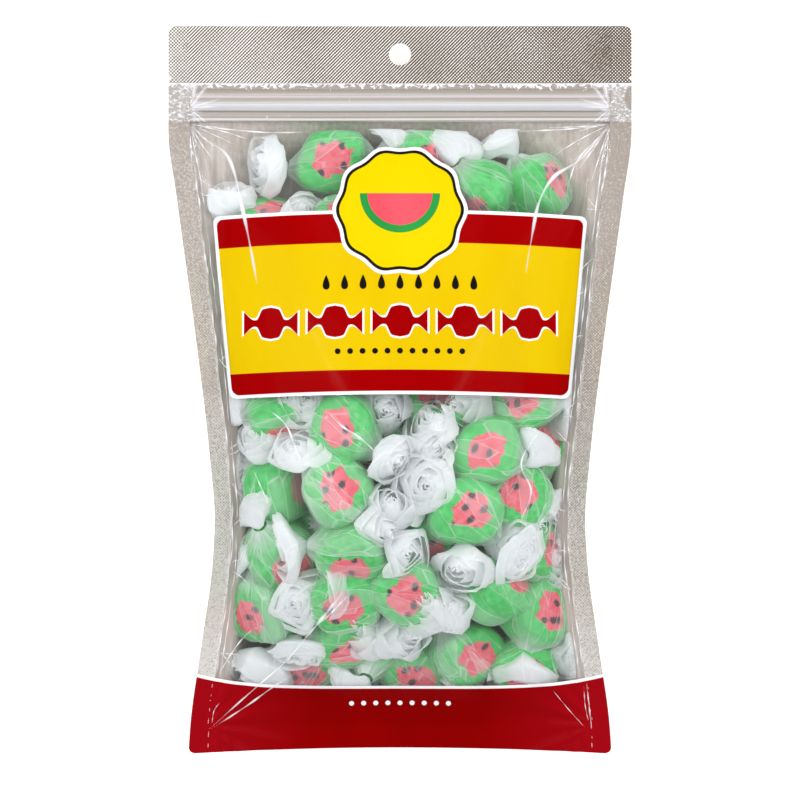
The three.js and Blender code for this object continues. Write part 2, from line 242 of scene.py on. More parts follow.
    def creases(self, x: np.ndarray, y: np.ndarray) -> np.ndarray:
        """Small folds of the front film, as a height to add.

        Ripples that run along each side seam, fans that spread from the ends of the zip and from
        the two bottom corners, and level ripples under the zip. Each fades with distance. A
        corner is its x and y, and the fan's height, its reach and its number of spokes.
        """
        inside = self.seam_half(y) - np.abs(x)
        side = np.sign(x)
        wander = 1.3 * np.sin(y / 11 + 2 * side) + 0.8 * np.sin(y / 4.7 + side)
        along_seam = (self.ripple_height * np.exp(-(inside / self.ripple_reach) ** 2)
                      * smooth(0, 2.5, inside))
        total = along_seam * np.sin(2 * np.pi * (inside + wander) / self.ripple_pitch)
        for corner_x, corner_y, size, reach, spokes in self.crease_corners:
            away_x = corner_x - np.abs(x)
            away_y = y - corner_y
            distance = np.hypot(away_x, away_y)
            angle = np.arctan2(away_y, away_x)
            strength = size * np.exp(-distance / reach) * smooth(0, 12, distance)
            total += strength * np.sin(spokes * angle + 1.7 * side + 0.05 * distance)
        near_zip = np.exp(-((y - self.zip_ripple_y) / self.zip_ripple_reach) ** 2)
        total += (self.ripple_height * near_zip
                  * np.sin(2 * np.pi * y / self.zip_ripple_pitch + x / 31))
        return total * smooth(0, 3, inside)

    def film(self, x: np.ndarray, y: np.ndarray) -> np.ndarray:
        """Height of the front film, with its small folds."""
        return self.crown(x, y) + self.creases(x, y)


def corner_inset(radius: float, distance: np.ndarray) -> np.ndarray:
    """How far a rounded corner draws the side in at a distance from the end."""
    depth = np.clip(radius - distance, 0, radius)
    return radius - np.sqrt(radius * radius - depth * depth)


FORM = PouchForm()


def grid_quads(rows: int, columns: int) -> np.ndarray:
    """Quads of a grid of vertices, facing up where rows run along +Y and columns along +X."""
    j, i = np.meshgrid(np.arange(rows - 1), np.arange(columns - 1), indexing="ij")
    a = (j * columns + i).ravel()
    return np.stack([a, a + 1, a + columns + 1, a + columns], axis=-1)


def plate(x: np.ndarray, y: np.ndarray, upper: np.ndarray, lower: np.ndarray) -> tuple:
    """Closed plate between two heights over one grid.

    Args:
        x, y: places of the grid's vertices, as rows by columns.
        upper, lower: heights of its two faces there.

    Returns:
        Vertices and quads: the upper face, the lower face turned over, and a rim between them.
    """
    rows, columns = x.shape
    layer = rows * columns
    points = np.concatenate([np.stack([x, y, z], axis=-1).reshape(-1, 3) for z in (upper, lower)])
    face = grid_quads(rows, columns)
    rim = np.concatenate([
        np.arange(columns - 1),
        np.arange(rows - 1) * columns + columns - 1,
        (rows - 1) * columns + np.arange(columns - 1, 0, -1),
        np.arange(rows - 1, 0, -1) * columns])
    after = np.roll(rim, -1)
    side = np.stack([rim, rim + layer, after + layer, after], axis=-1)
    return points, np.concatenate([face, face[:, ::-1] + layer, side])


@dataclass
class Piece:
    """One visible piece: a mesh from arrays, its material, and what it stands for."""

    name: str
    points: np.ndarray
    quads: np.ndarray
    material: bpy.types.Material
    slot: str
    replaces: tuple[str, ...] = ()
    sharp_deg: float = 180.0
    vectors: dict[str, np.ndarray] = field(default_factory=dict)
    numbers: dict[str, np.ndarray] = field(default_factory=dict)

    def make(self) -> bpy.types.Object:
        """Build the mesh in metres, dress it, and let it ride on the pouch.

        Returns:
            The new object, at the origin, unturned and unscaled.
        """
        mesh = bpy.data.meshes.new(self.name)
        mesh.vertices.add(len(self.points))
        mesh.vertices.foreach_set("co", (self.points * MM).astype(np.float32).ravel())
        mesh.loops.add(self.quads.size)
        mesh.loops.foreach_set("vertex_index", self.quads.astype(np.int32).ravel())
        mesh.polygons.add(len(self.quads))
        mesh.polygons.foreach_set("loop_start", np.arange(0, self.quads.size, 4, dtype=np.int32))
        mesh.update(calc_edges=True)
        for name, values in self.vectors.items():
            made = mesh.attributes.new(name, "FLOAT_VECTOR", "POINT")
            made.data.foreach_set("vector", values.astype(np.float32).ravel())
        for name, values in self.numbers.items():
            made = mesh.attributes.new(name, "FLOAT", "POINT")
            made.data.foreach_set("value", values.astype(np.float32).ravel())
        mesh.shade_smooth()
        if self.sharp_deg < 180:
            mesh.set_sharp_from_angle(angle=math.radians(self.sharp_deg))
        mesh.materials.append(self.material)
        made = bpy.data.objects.new(self.name, mesh)
        bpy.context.scene.collection.objects.link(made)
        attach(made, "root")
        if self.replaces:
            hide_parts(*self.replaces)
        LOG.info("%s: %d vertices, %d quads", self.name, len(self.points), len(self.quads))
        return made


@dataclass(frozen=True)
class Finish:
    """What every finish shares: a name, and a node tree with a place to read positions from."""

    name: str

    def start(self) -> tuple[bpy.types.Material, bpy.types.NodeTree, bpy.types.NodeSocket]:
        """New material.

        Returns:
            The material, its node tree, and the Object coordinates in metres.
        """
        material = bpy.data.materials.new(self.name)
        material.use_nodes = True
        tree = material.node_tree
        tree.nodes.clear()
        place = add(tree, "ShaderNodeTexCoord").outputs["Object"]
        return material, tree, place

    @staticmethod
    def end(tree: bpy.types.NodeTree, shader: bpy.types.Node) -> None:
        """Link a shader to the material's surface."""
        add(tree, "ShaderNodeOutputMaterial", {"Surface": shader})


@dataclass(frozen=True)
class SilverLaminate(Finish):
    """Metallised polyester laminate, drawn through rollers.

    The eye sees a soft grey-brown metal with fine streaks along the draw.
    """

    colour: str = "#cfc4bc"
    dark: str = "#b1a59d"
    metallic: float = 0.16
    roughness: float = 0.5
    streak: float = 1.6
    streak_thinness: float = 0.05
    crinkle: float = 9.09
    crinkle_depth: float = 0.8
    painted_light_top: float = 1.02
    painted_light_from: float = 55.0
    painted_light_reach: float = 25.0
    painted_shade_side: float = 0.76
    painted_side_from: float = 66.0
    painted_shade_reach: float = 6.0

    def material(self) -> bpy.types.Material:
        """Streaks come from noise stretched along the pouch, and crinkles from a low bump.

        Towards the header the sheet is painted lighter, as painted light where it lies flat. Where it
        is widest it is turned up beside the welds, and painted darker there, as painted shade.
        """
        material, tree, place = self.start()
        fine = 1000 / self.streak
        stretch = add(tree, "ShaderNodeMapping", {
            "Vector": place, "Scale": (fine, fine * self.streak_thinness, fine)})
        streaks = add(tree, "ShaderNodeTexNoise", {
            "Vector": stretch, "Scale": 1.0, "Detail": 3.0, "Roughness": 0.55})
        colours = add(tree, "ShaderNodeValToRGB", {"Fac": streaks})
        colours.color_ramp.elements[0].position = 0.3
        colours.color_ramp.elements[0].color = linear(self.dark)
        colours.color_ramp.elements[1].position = 0.68
        colours.color_ramp.elements[1].color = linear(self.colour)
        split = add(tree, "ShaderNodeSeparateXYZ", {0: place})
        # Painted light: the colour is raised a little towards the header, where the sheet lies flat.
        painted_light_share = add(tree, "ShaderNodeMapRange", {
            "Value": split.outputs[1], "From Min": self.painted_light_from * MM,
            "From Max": (self.painted_light_from + self.painted_light_reach) * MM, "To Min": 1.0,
            "To Max": self.painted_light_top})
        # Painted shade: the colour is lowered beside the welds, where the sheet is turned up.
        out = add(tree, "ShaderNodeMath", {0: split.outputs[0]}, operation="ABSOLUTE")
        aside = add(tree, "ShaderNodeMapRange", {
            "Value": out, "From Min": self.painted_side_from * MM,
            "From Max": (self.painted_side_from + self.painted_shade_reach) * MM, "To Min": 1.0,
            "To Max": self.painted_shade_side})
        tone = add(tree, "ShaderNodeMath", {0: painted_light_share, 1: aside}, operation="MULTIPLY")
        painted_light_and_shade = add(tree, "ShaderNodeVectorMath", {0: colours, "Scale": tone}, operation="SCALE")
        crinkle = add(tree, "ShaderNodeTexNoise", {
            "Vector": place, "Scale": 1000 / self.crinkle, "Detail": 3.0})
        bump = add(tree, "ShaderNodeBump", {
            "Height": crinkle, "Strength": 0.35, "Distance": self.crinkle_depth * MM})
        shader = add(tree, "ShaderNodeBsdfPrincipled", {
            "Base Color": painted_light_and_shade, "Metallic": self.metallic, "Roughness": self.roughness,
            "Normal": bump})
        self.end(tree, shader)
        return material


@dataclass(frozen=True)
class EmbossedWeld(Finish):
    """Heat weld of the laminate, pressed by a jaw with fine slanting ribs.

    The real ribs are about 0.6 mm apart. They are drawn a little further apart, so that they
    show. Ribs are painted near white, a painted highlight, and grooves brown, painted shade. Near
    the side edges, and in patches elsewhere, a second set crosses the first, which leaves a weave
    of small lozenges. Ribs are narrower towards +X by the lean, and towards the header by the top
    darkening, which leaves it darker there. Fine and broad noise make them ragged and cloudy. The
    cut edge of the sheet has no ribs.
    """

    painted_rib_highlight: str = "#f4f1ec"
    painted_groove_shade: str = "#54402f"
    pitch: float = 0.85
    depth: float = 0.2
    patch: float = 31.25
    cloud: float = 29.41
    grit: float = 0.6667
    crossed_from: float = 74.6
    edge_softness: float = 0.2
    lean: float = 0.36
    lean_reach: float = 82.0
    raggedness: float = 1.05
    cloudiness: float = 0.9
    rib_share_drop: float = 0.8
    top_darkening: float = 0.0
    top_darkening_reach: float = 100.0
    cut_edge_share: float = 0.6

    def material(self) -> bpy.types.Material:
        """Ribs are a sine across one diagonal, cut to soft steps, with the other one added.

        The fine noise averages a half, so the level of the cut rises by half of the raggedness.
        """
        material, tree, place = self.start()
        split = add(tree, "ShaderNodeSeparateXYZ", {0: place})
        turn = 2 * math.pi * 1000 / self.pitch / math.sqrt(2)
        waves = []
        for sign in (-1, 1):
            reach = add(tree, "ShaderNodeMath", {
                0: split.outputs[1], 1: float(sign), 2: split.outputs[0]}, operation="MULTIPLY_ADD")
            angle = add(tree, "ShaderNodeMath", {0: reach, 1: turn}, operation="MULTIPLY")
            waves.append(add(tree, "ShaderNodeMath", {0: angle}, operation="SINE"))
        side = add(tree, "ShaderNodeMath", {0: split.outputs[0]}, operation="ABSOLUTE")
        crossed = add(tree, "ShaderNodeMapRange", {
            "Value": side, "From Min": self.crossed_from * MM,
            "From Max": (self.crossed_from + 1) * MM})
        patches = add(tree, "ShaderNodeTexNoise", {
            "Vector": place, "Scale": 1000 / self.patch, "Detail": 2.0})
        woven = add(tree, "ShaderNodeMapRange", {
            "Value": patches, "From Min": 0.47, "From Max": 0.6, "To Max": 0.85})
        both_ways = add(tree, "ShaderNodeMath", {0: crossed, 1: woven}, operation="MAXIMUM")
        second = add(tree, "ShaderNodeMath", {0: waves[1], 1: both_ways}, operation="MULTIPLY")
        both = add(tree, "ShaderNodeMath", {0: waves[0], 1: second}, operation="ADD")
        fine = add(tree, "ShaderNodeTexNoise", {
            "Vector": place, "Scale": 1000 / self.grit, "Detail": 1.0})
        broad = add(tree, "ShaderNodeTexNoise", {
            "Vector": place, "Scale": 1000 / self.cloud, "Detail": 1.0})
        leaned = add(tree, "ShaderNodeMath", {
            0: split.outputs[0], 1: -self.lean / (self.lean_reach * MM),
            2: both}, operation="MULTIPLY_ADD")
        shaken = add(tree, "ShaderNodeMath", {
            0: fine, 1: self.raggedness, 2: leaned}, operation="MULTIPLY_ADD")
        darkened_to_top = add(tree, "ShaderNodeMath", {
            0: split.outputs[1], 1: -self.top_darkening / (self.top_darkening_reach * MM),
            2: shaken}, operation="MULTIPLY_ADD")
        clouded = add(tree, "ShaderNodeMath", {
            0: broad, 1: self.cloudiness, 2: darkened_to_top}, operation="MULTIPLY_ADD")
        middle = self.raggedness / 2 + self.rib_share_drop
        share = add(tree, "ShaderNodeMapRange", {
            "Value": clouded, "From Min": middle - self.edge_softness,
            "From Max": middle + self.edge_softness})
        facing = add(tree, "ShaderNodeSeparateXYZ", {
            0: add(tree, "ShaderNodeNewGeometry").outputs["Normal"]})
        flat = add(tree, "ShaderNodeMath", {0: facing.outputs[2]}, operation="ABSOLUTE")
        pressed_share = add(tree, "ShaderNodeMapRange", {
            "Value": flat, "From Min": 0.15, "From Max": 0.4, "To Min": self.cut_edge_share,
            "To Max": share})
        # Painted highlight and painted shade: ribs get the near-white colour, grooves the brown one.
        colours = add(tree, "ShaderNodeMix", {
            "Factor": pressed_share, "A": linear(self.painted_groove_shade), "B": linear(self.painted_rib_highlight)}, data_type="RGBA")
        bump = add(tree, "ShaderNodeBump", {
            "Height": share, "Strength": 0.5, "Distance": self.depth * MM})
        shader = add(tree, "ShaderNodeBsdfPrincipled", {
            "Base Color": colours, "Metallic": 0.2, "Roughness": 0.45, "Normal": bump})
        self.end(tree, shader)
        return material


@dataclass(frozen=True)
class ClearFilm(Finish):
    """Cast polypropylene film: invisible but for its gloss and a trace of haze."""

    ior: float = 1.3
    roughness: float = 0.06
    haze: float = 0.008
    crinkle: float = 10.53
    crinkle_depth: float = 1.2
    crinkle_strength: float = 0.25

    def material(self) -> bpy.types.Material:
        """Gloss by the angle of view over a clear sheet, with a little white mixed in.

        Light that has come in through one face of the sheet leaves the other face freely, so each
        crossing is weighed once.
        """
        material, tree, place = self.start()
        crinkle = add(tree, "ShaderNodeTexNoise", {
            "Vector": place, "Scale": 1000 / self.crinkle, "Detail": 4.0, "Roughness": 0.45})
        bump = add(tree, "ShaderNodeBump", {
            "Height": crinkle, "Distance": self.crinkle_depth * MM, "Strength": self.crinkle_strength})
        clear = add(tree, "ShaderNodeBsdfTransparent", {"Color": (0.995, 1, 1, 1)})
        gloss = add(tree, "ShaderNodeBsdfAnisotropic", {
            "Color": (1, 1, 1, 1), "Roughness": self.roughness, "Normal": bump})
        angle = add(tree, "ShaderNodeFresnel", {"IOR": self.ior, "Normal": bump})
        leaving = add(tree, "ShaderNodeNewGeometry").outputs["Backfacing"]
        entering = add(tree, "ShaderNodeMath", {0: 1.0, 1: leaving}, operation="SUBTRACT")
        share = add(tree, "ShaderNodeMath", {0: angle, 1: entering}, operation="MULTIPLY")
        shiny = add(tree, "ShaderNodeMixShader", {0: share, 1: clear, 2: gloss})
        white = add(tree, "ShaderNodeBsdfDiffuse", {"Color": (0.9, 0.9, 0.92, 1)})
        shader = add(tree, "ShaderNodeMixShader", {0: self.haze, 1: shiny, 2: white})
        self.end(tree, shader)
        return material


@dataclass(frozen=True)
class PaintedGlintFold(Finish):
    """Sharp folds of the clear film, painted white along the crest: a painted glint of the light."""

    painted_glint_share: float = 0.85

    def material(self) -> bpy.types.Material:
        """Painted glint: a white gloss that fades out to clear film at both edges of the fold, by
        attribute.
        """
        material, tree, _ = self.start()
        core = add(tree, "ShaderNodeAttribute", attribute_name="core")
        share = add(tree, "ShaderNodeMath", {
            0: core.outputs["Fac"], 1: self.painted_glint_share}, operation="MULTIPLY")
        clear = add(tree, "ShaderNodeBsdfTransparent", {"Color": (1, 1, 1, 1)})
        white = add(tree, "ShaderNodeBsdfPrincipled", {
            "Base Color": (0.95, 0.95, 0.97, 1), "Roughness": 0.2, "Coat Weight": 0.5})
        shader = add(tree, "ShaderNodeMixShader", {0: share, 1: clear, 2: white})
        self.end(tree, shader)
        return material


@dataclass(frozen=True)
class PrintedInk(Finish):
    """Flexographic ink on film: flat colour with a trace of gloss."""

    colour: str = "#ffffff"
    shade: str = "#e0e0e0"
    side: str = ""
    painted_side_from: float = 30.0
    painted_side_full: float = 66.0
    cloud: float = 18.18
    cloud_stretch: float = 0.35
    ripple: float = 8.333
    ripple_depth: float = 0.8
    roughness: float = 0.35

    def material(self) -> bpy.types.Material:
        """Two close tones by broad noise stretched along the pouch, under a faint clear coat.

        Where a side colour is given, the ink turns to it towards both sides of the pouch, as painted
        light on the parts that face the light more.
        """
        material, tree, place = self.start()
        stretch = add(tree, "ShaderNodeMapping", {
            "Vector": place, "Scale": (1.0, self.cloud_stretch, 1.0)})
        cloud = add(tree, "ShaderNodeTexNoise", {
            "Vector": stretch, "Scale": 1000 / self.cloud, "Detail": 3.0})
        share = add(tree, "ShaderNodeMapRange", {"Value": cloud, "From Min": 0.35, "From Max": 0.75})
        colours = add(tree, "ShaderNodeMix", {
            "Factor": share, "A": linear(self.colour), "B": linear(self.shade)}, data_type="RGBA")
        # Painted light: the ink turns lighter towards both sides, where the band faces the light more.
        if self.side:
            split = add(tree, "ShaderNodeSeparateXYZ", {0: place})
            out = add(tree, "ShaderNodeMath", {0: split.outputs[0]}, operation="ABSOLUTE")
            towards = add(tree, "ShaderNodeMapRange", {
                "Value": out, "From Min": self.painted_side_from * MM, "From Max": self.painted_side_full * MM})
            colours = add(tree, "ShaderNodeMix", {
                "Factor": towards, "A": colours, "B": linear(self.side)}, data_type="RGBA")
        ripple = add(tree, "ShaderNodeTexNoise", {
            "Vector": place, "Scale": 1000 / self.ripple, "Detail": 3.0})
        bump = add(tree, "ShaderNodeBump", {
            "Height": ripple, "Strength": 0.12, "Distance": self.ripple_depth * MM})
        shader = add(tree, "ShaderNodeBsdfPrincipled", {
            "Base Color": colours, "Roughness": self.roughness, "Specular IOR Level": 0.0,
            "Coat Weight": 0.03, "Coat Roughness": 0.08, "Normal": bump, "Coat Normal": bump})
        self.end(tree, shader)
        return material


@dataclass(frozen=True)
class ZipPlastic(Finish):
    """Extruded polythene closing strip: a milky bar on clear film that lies on the silver back.

    Each tone is a height in mm and its colour, from the foot of the strip to its top. Where the
    side welds crush the strip, it has melted to a white, ragged skin, and under the header's weld
    small curls have melted white. From the crushed ends white creases spread inwards as a fan.
    """

    tones: tuple[tuple[float, str], ...] = (
        (94.5, "#aaa097"), (95.1, "#d2cdca"), (95.6, "#d6d2d0"), (96.0, "#b0a69f"),
        (97.7, "#b6ada7"), (98.1, "#978d86"), (98.6, "#cac9cd"), (99.5, "#bebdc3"),
        (100.7, "#cfced2"), (101.0, "#c0bbb9"), (101.5, "#d5d2d1"), (101.9, "#aea59f"),
        (102.9, "#b3aaa4"), (103.4, "#c9c4c2"), (104.1, "#cdc8c6"), (104.7, "#9f958c"),
        (108.0, "#9d938a"))
    melted: str = "#e9e8ee"
    melted_dark: str = "#aaa39d"
    drift: float = 0.5
    drift_cell: tuple[float, float] = (71.43, 6.25)
    grain: tuple[float, float] = (1.5625, 0.8333)
    grain_depth: float = 0.6
    crushed_from: float = 73.2
    crushed_softness: float = 0.8
    raggedness: float = 3.0
    fan_from: float = 74.8
    fan_height: float = 99.2
    fan_reach: float = 13.0
    curl: float = 3.03
    curl_reach: float = 2.8
    curl_share: float = 0.34

    def material(self) -> bpy.types.Material:
        """Tones run along the strip by its height, shaken a little by drawn-out noise.

        The fan's creases follow the slope of the line to the middle of the crushed end.
        """
        material, tree, place = self.start()
        split = add(tree, "ShaderNodeSeparateXYZ", {0: place})
        wander = add(tree, "ShaderNodeMapping", {
            "Vector": place, "Scale": (1000 / self.drift_cell[0], 1000 / self.drift_cell[1], 1.0)})
        drift = add(tree, "ShaderNodeTexNoise", {"Vector": wander, "Scale": 1.0, "Detail": 2.0})
        moved = add(tree, "ShaderNodeMath", {
            0: drift, 1: self.drift * MM, 2: split.outputs[1]}, operation="MULTIPLY_ADD")
        low, high = self.tones[0][0], self.tones[-1][0]
        level = add(tree, "ShaderNodeMapRange", {
            "Value": moved, "From Min": (low + self.drift / 2) * MM,
            "From Max": (high + self.drift / 2) * MM})
        ramp = add(tree, "ShaderNodeValToRGB", {"Fac": level})
        stops = ramp.color_ramp.elements
        stops.remove(stops[1])
        for height, tone in self.tones[1:]:
            stops.new((height - low) / (high - low)).color = linear(tone)
        stops[0].color = linear(self.tones[0][1])
        side = add(tree, "ShaderNodeMath", {0: split.outputs[0]}, operation="ABSOLUTE")
        rise = add(tree, "ShaderNodeMath", {
            0: split.outputs[1], 1: self.fan_height * MM}, operation="SUBTRACT")
        inside = add(tree, "ShaderNodeMath", {0: self.fan_from * MM, 1: side}, operation="SUBTRACT")
        slope = add(tree, "ShaderNodeMath", {0: rise, 1: inside}, operation="DIVIDE")
        bearing = add(tree, "ShaderNodeMath", {0: slope}, operation="ARCTANGENT")
        rays = add(tree, "ShaderNodeTexNoise", {
            "W": bearing, "Scale": 5.0, "Detail": 2.0}, noise_dimensions="1D")
        fading = add(tree, "ShaderNodeMapRange", {
            "Value": inside, "From Min": 0.0, "From Max": self.fan_reach * MM, "To Min": 0.11,
            "To Max": -0.16})
        spread = add(tree, "ShaderNodeMath", {0: rays, 1: fading}, operation="ADD")
        fan = add(tree, "ShaderNodeMapRange", {
            "Value": spread, "From Min": 0.53, "From Max": 0.62, "To Max": 0.8})
        fanned = add(tree, "ShaderNodeMix", {
            "Factor": fan, "A": ramp, "B": linear(self.melted)}, data_type="RGBA")
        across, along = 1000 / self.grain[0], 1000 / self.grain[1]
        finely = add(tree, "ShaderNodeMapping", {"Vector": place, "Scale": (across, along, across)})
        ragged = add(tree, "ShaderNodeTexNoise", {
            "Vector": finely, "Scale": 1.0, "Detail": 3.0, "Distortion": 1.2})
        reach = add(tree, "ShaderNodeMath", {
            0: ragged, 1: self.raggedness * MM, 2: side}, operation="MULTIPLY_ADD")
        start = self.crushed_from + self.raggedness / 2
        crushed = add(tree, "ShaderNodeMapRange", {
            "Value": reach, "From Min": start * MM, "From Max": (start + self.crushed_softness) * MM})
        spots = add(tree, "ShaderNodeMapRange", {"Value": ragged, "From Min": 0.5, "From Max": 0.62})
        melted = add(tree, "ShaderNodeMix", {
            "Factor": spots, "A": linear(self.melted_dark), "B": linear(self.melted)}, data_type="RGBA")
        base = add(tree, "ShaderNodeMix", {
            "Factor": crushed, "A": fanned, "B": melted}, data_type="RGBA")
        curls = add(tree, "ShaderNodeTexNoise", {
            "Vector": place, "Scale": 1000 / self.curl, "Detail": 2.0, "Distortion": 2.0})
        under = add(tree, "ShaderNodeMapRange", {
            "Value": split.outputs[1], "From Min": (high - self.curl_reach) * MM, "From Max": high * MM,
            "To Max": self.curl_share})
        curled = add(tree, "ShaderNodeMath", {0: curls, 1: under}, operation="ADD")
        marked = add(tree, "ShaderNodeMapRange", {"Value": curled, "From Min": 0.73, "From Max": 0.77})
        tinted = add(tree, "ShaderNodeMix", {
            "Factor": marked, "A": base, "B": linear(self.melted)}, data_type="RGBA")
        bump = add(tree, "ShaderNodeBump", {
            "Height": ragged, "Strength": 0.3, "Distance": self.grain_depth * MM})
        shader = add(tree, "ShaderNodeBsdfPrincipled", {
            "Base Color": tinted, "Roughness": 0.32, "Coat Weight": 0.3, "Coat Roughness": 0.08,
            "Normal": bump})
        self.end(tree, shader)
        return material


@dataclass(frozen=True)
class PulledTaffy(Finish):
    """Pulled sugar and syrup, cut from a rope: soft satin, with a core of another colour and seeds.

    The vertex attribute "slice" holds the place in the piece, in mm, with z along the rope, and
    "number" is another one for each piece, which moves its noise apart from the others'. A seed
    is dark inside the first share of the spacing and gone at the second.
    """

    sleeve: str = "#1da53f"
    sleeve_pale: str = "#4fcd6c"
    core: str = "#d63a50"
    core_pale: str = "#ec7a85"
    seed: str = "#30262c"
    core_radius: float = 6.65
    core_softness: float = 0.25
    lobe: float = 3.704
    lobe_height: float = 8.0
    mottling: float = 2.222
    mottle_depth: float = 0.8
    noise_apart: float = 7.31
    seed_spacing: float = 3.4
    seed_stretch: float = 0.7
    seed_shares: tuple[float, float] = (0.15, 0.24)
    seed_raggedness: float = 0.42

    def material(self) -> bpy.types.Material:
        """Core where the distance from the rope's axis, shaken by noise, is under its radius."""
        material, tree, _ = self.start()
        local = add(tree, "ShaderNodeAttribute", attribute_name="slice").outputs["Vector"]
        number = add(tree, "ShaderNodeAttribute", attribute_name="number").outputs["Fac"]
        offset = add(tree, "ShaderNodeMath", {0: number, 1: self.noise_apart}, operation="MULTIPLY")
        split = add(tree, "ShaderNodeSeparateXYZ", {0: local})
        flat = add(tree, "ShaderNodeCombineXYZ", {0: split.outputs[0], 1: split.outputs[1]})
        radius = add(tree, "ShaderNodeVectorMath", {0: flat}, operation="LENGTH")
        lobes = add(tree, "ShaderNodeTexNoise", {
            "Vector": local, "W": offset, "Scale": 1 / self.lobe, "Detail": 2.2,
            "Roughness": 0.5}, noise_dimensions="4D")
        shaken = add(tree, "ShaderNodeMath", {
            0: lobes, 1: self.lobe_height, 2: radius}, operation="MULTIPLY_ADD")
        rim = self.core_radius + self.lobe_height / 2
        in_core = add(tree, "ShaderNodeMapRange", {
            "Value": shaken, "From Min": rim + self.core_softness,
            "From Max": rim - self.core_softness})
        mottle = add(tree, "ShaderNodeTexNoise", {
            "Vector": local, "W": offset, "Scale": 1 / self.mottling, "Detail": 4.0,
            "Roughness": 0.6}, noise_dimensions="4D")
        pale = add(tree, "ShaderNodeMapRange", {"Value": mottle, "From Min": 0.35, "From Max": 0.72})
        sleeve = add(tree, "ShaderNodeMix", {
            "Factor": pale, "A": linear(self.sleeve), "B": linear(self.sleeve_pale)}, data_type="RGBA")
        core = add(tree, "ShaderNodeMix", {
            "Factor": pale, "A": linear(self.core), "B": linear(self.core_pale)}, data_type="RGBA")
        body = add(tree, "ShaderNodeMix", {"Factor": in_core, "A": sleeve, "B": core}, data_type="RGBA")
        shift = add(tree, "ShaderNodeCombineXYZ", {0: offset, 1: offset})
        moved = add(tree, "ShaderNodeVectorMath", {0: flat, 1: shift}, operation="ADD")
        ragged = add(tree, "ShaderNodeMix", {
            "Factor": self.seed_raggedness, "A": moved,
            "B": mottle.outputs["Color"]}, data_type="VECTOR")
        oval = add(tree, "ShaderNodeMapping", {
            "Vector": ragged, "Scale": (1.0, self.seed_stretch, 1.0)})
        seeds = add(tree, "ShaderNodeTexVoronoi", {
            "Vector": oval, "Scale": 1 / self.seed_spacing,
            "Randomness": 0.85}, feature="F1", voronoi_dimensions="2D")
        near = add(tree, "ShaderNodeMapRange", {
            "Value": seeds, "From Min": self.seed_shares[1], "From Max": self.seed_shares[0]})
        seeded = add(tree, "ShaderNodeMath", {0: near, 1: in_core}, operation="MULTIPLY")
        colours = add(tree, "ShaderNodeMix", {
            "Factor": seeded, "A": body, "B": linear(self.seed)}, data_type="RGBA")
        bump = add(tree, "ShaderNodeBump", {
            "Height": mottle, "Strength": 0.3, "Distance": self.mottle_depth * MM})
        shader = add(tree, "ShaderNodeBsdfPrincipled", {
            "Base Color": colours, "Roughness": 0.5, "Normal": bump})
        self.end(tree, shader)
        return material


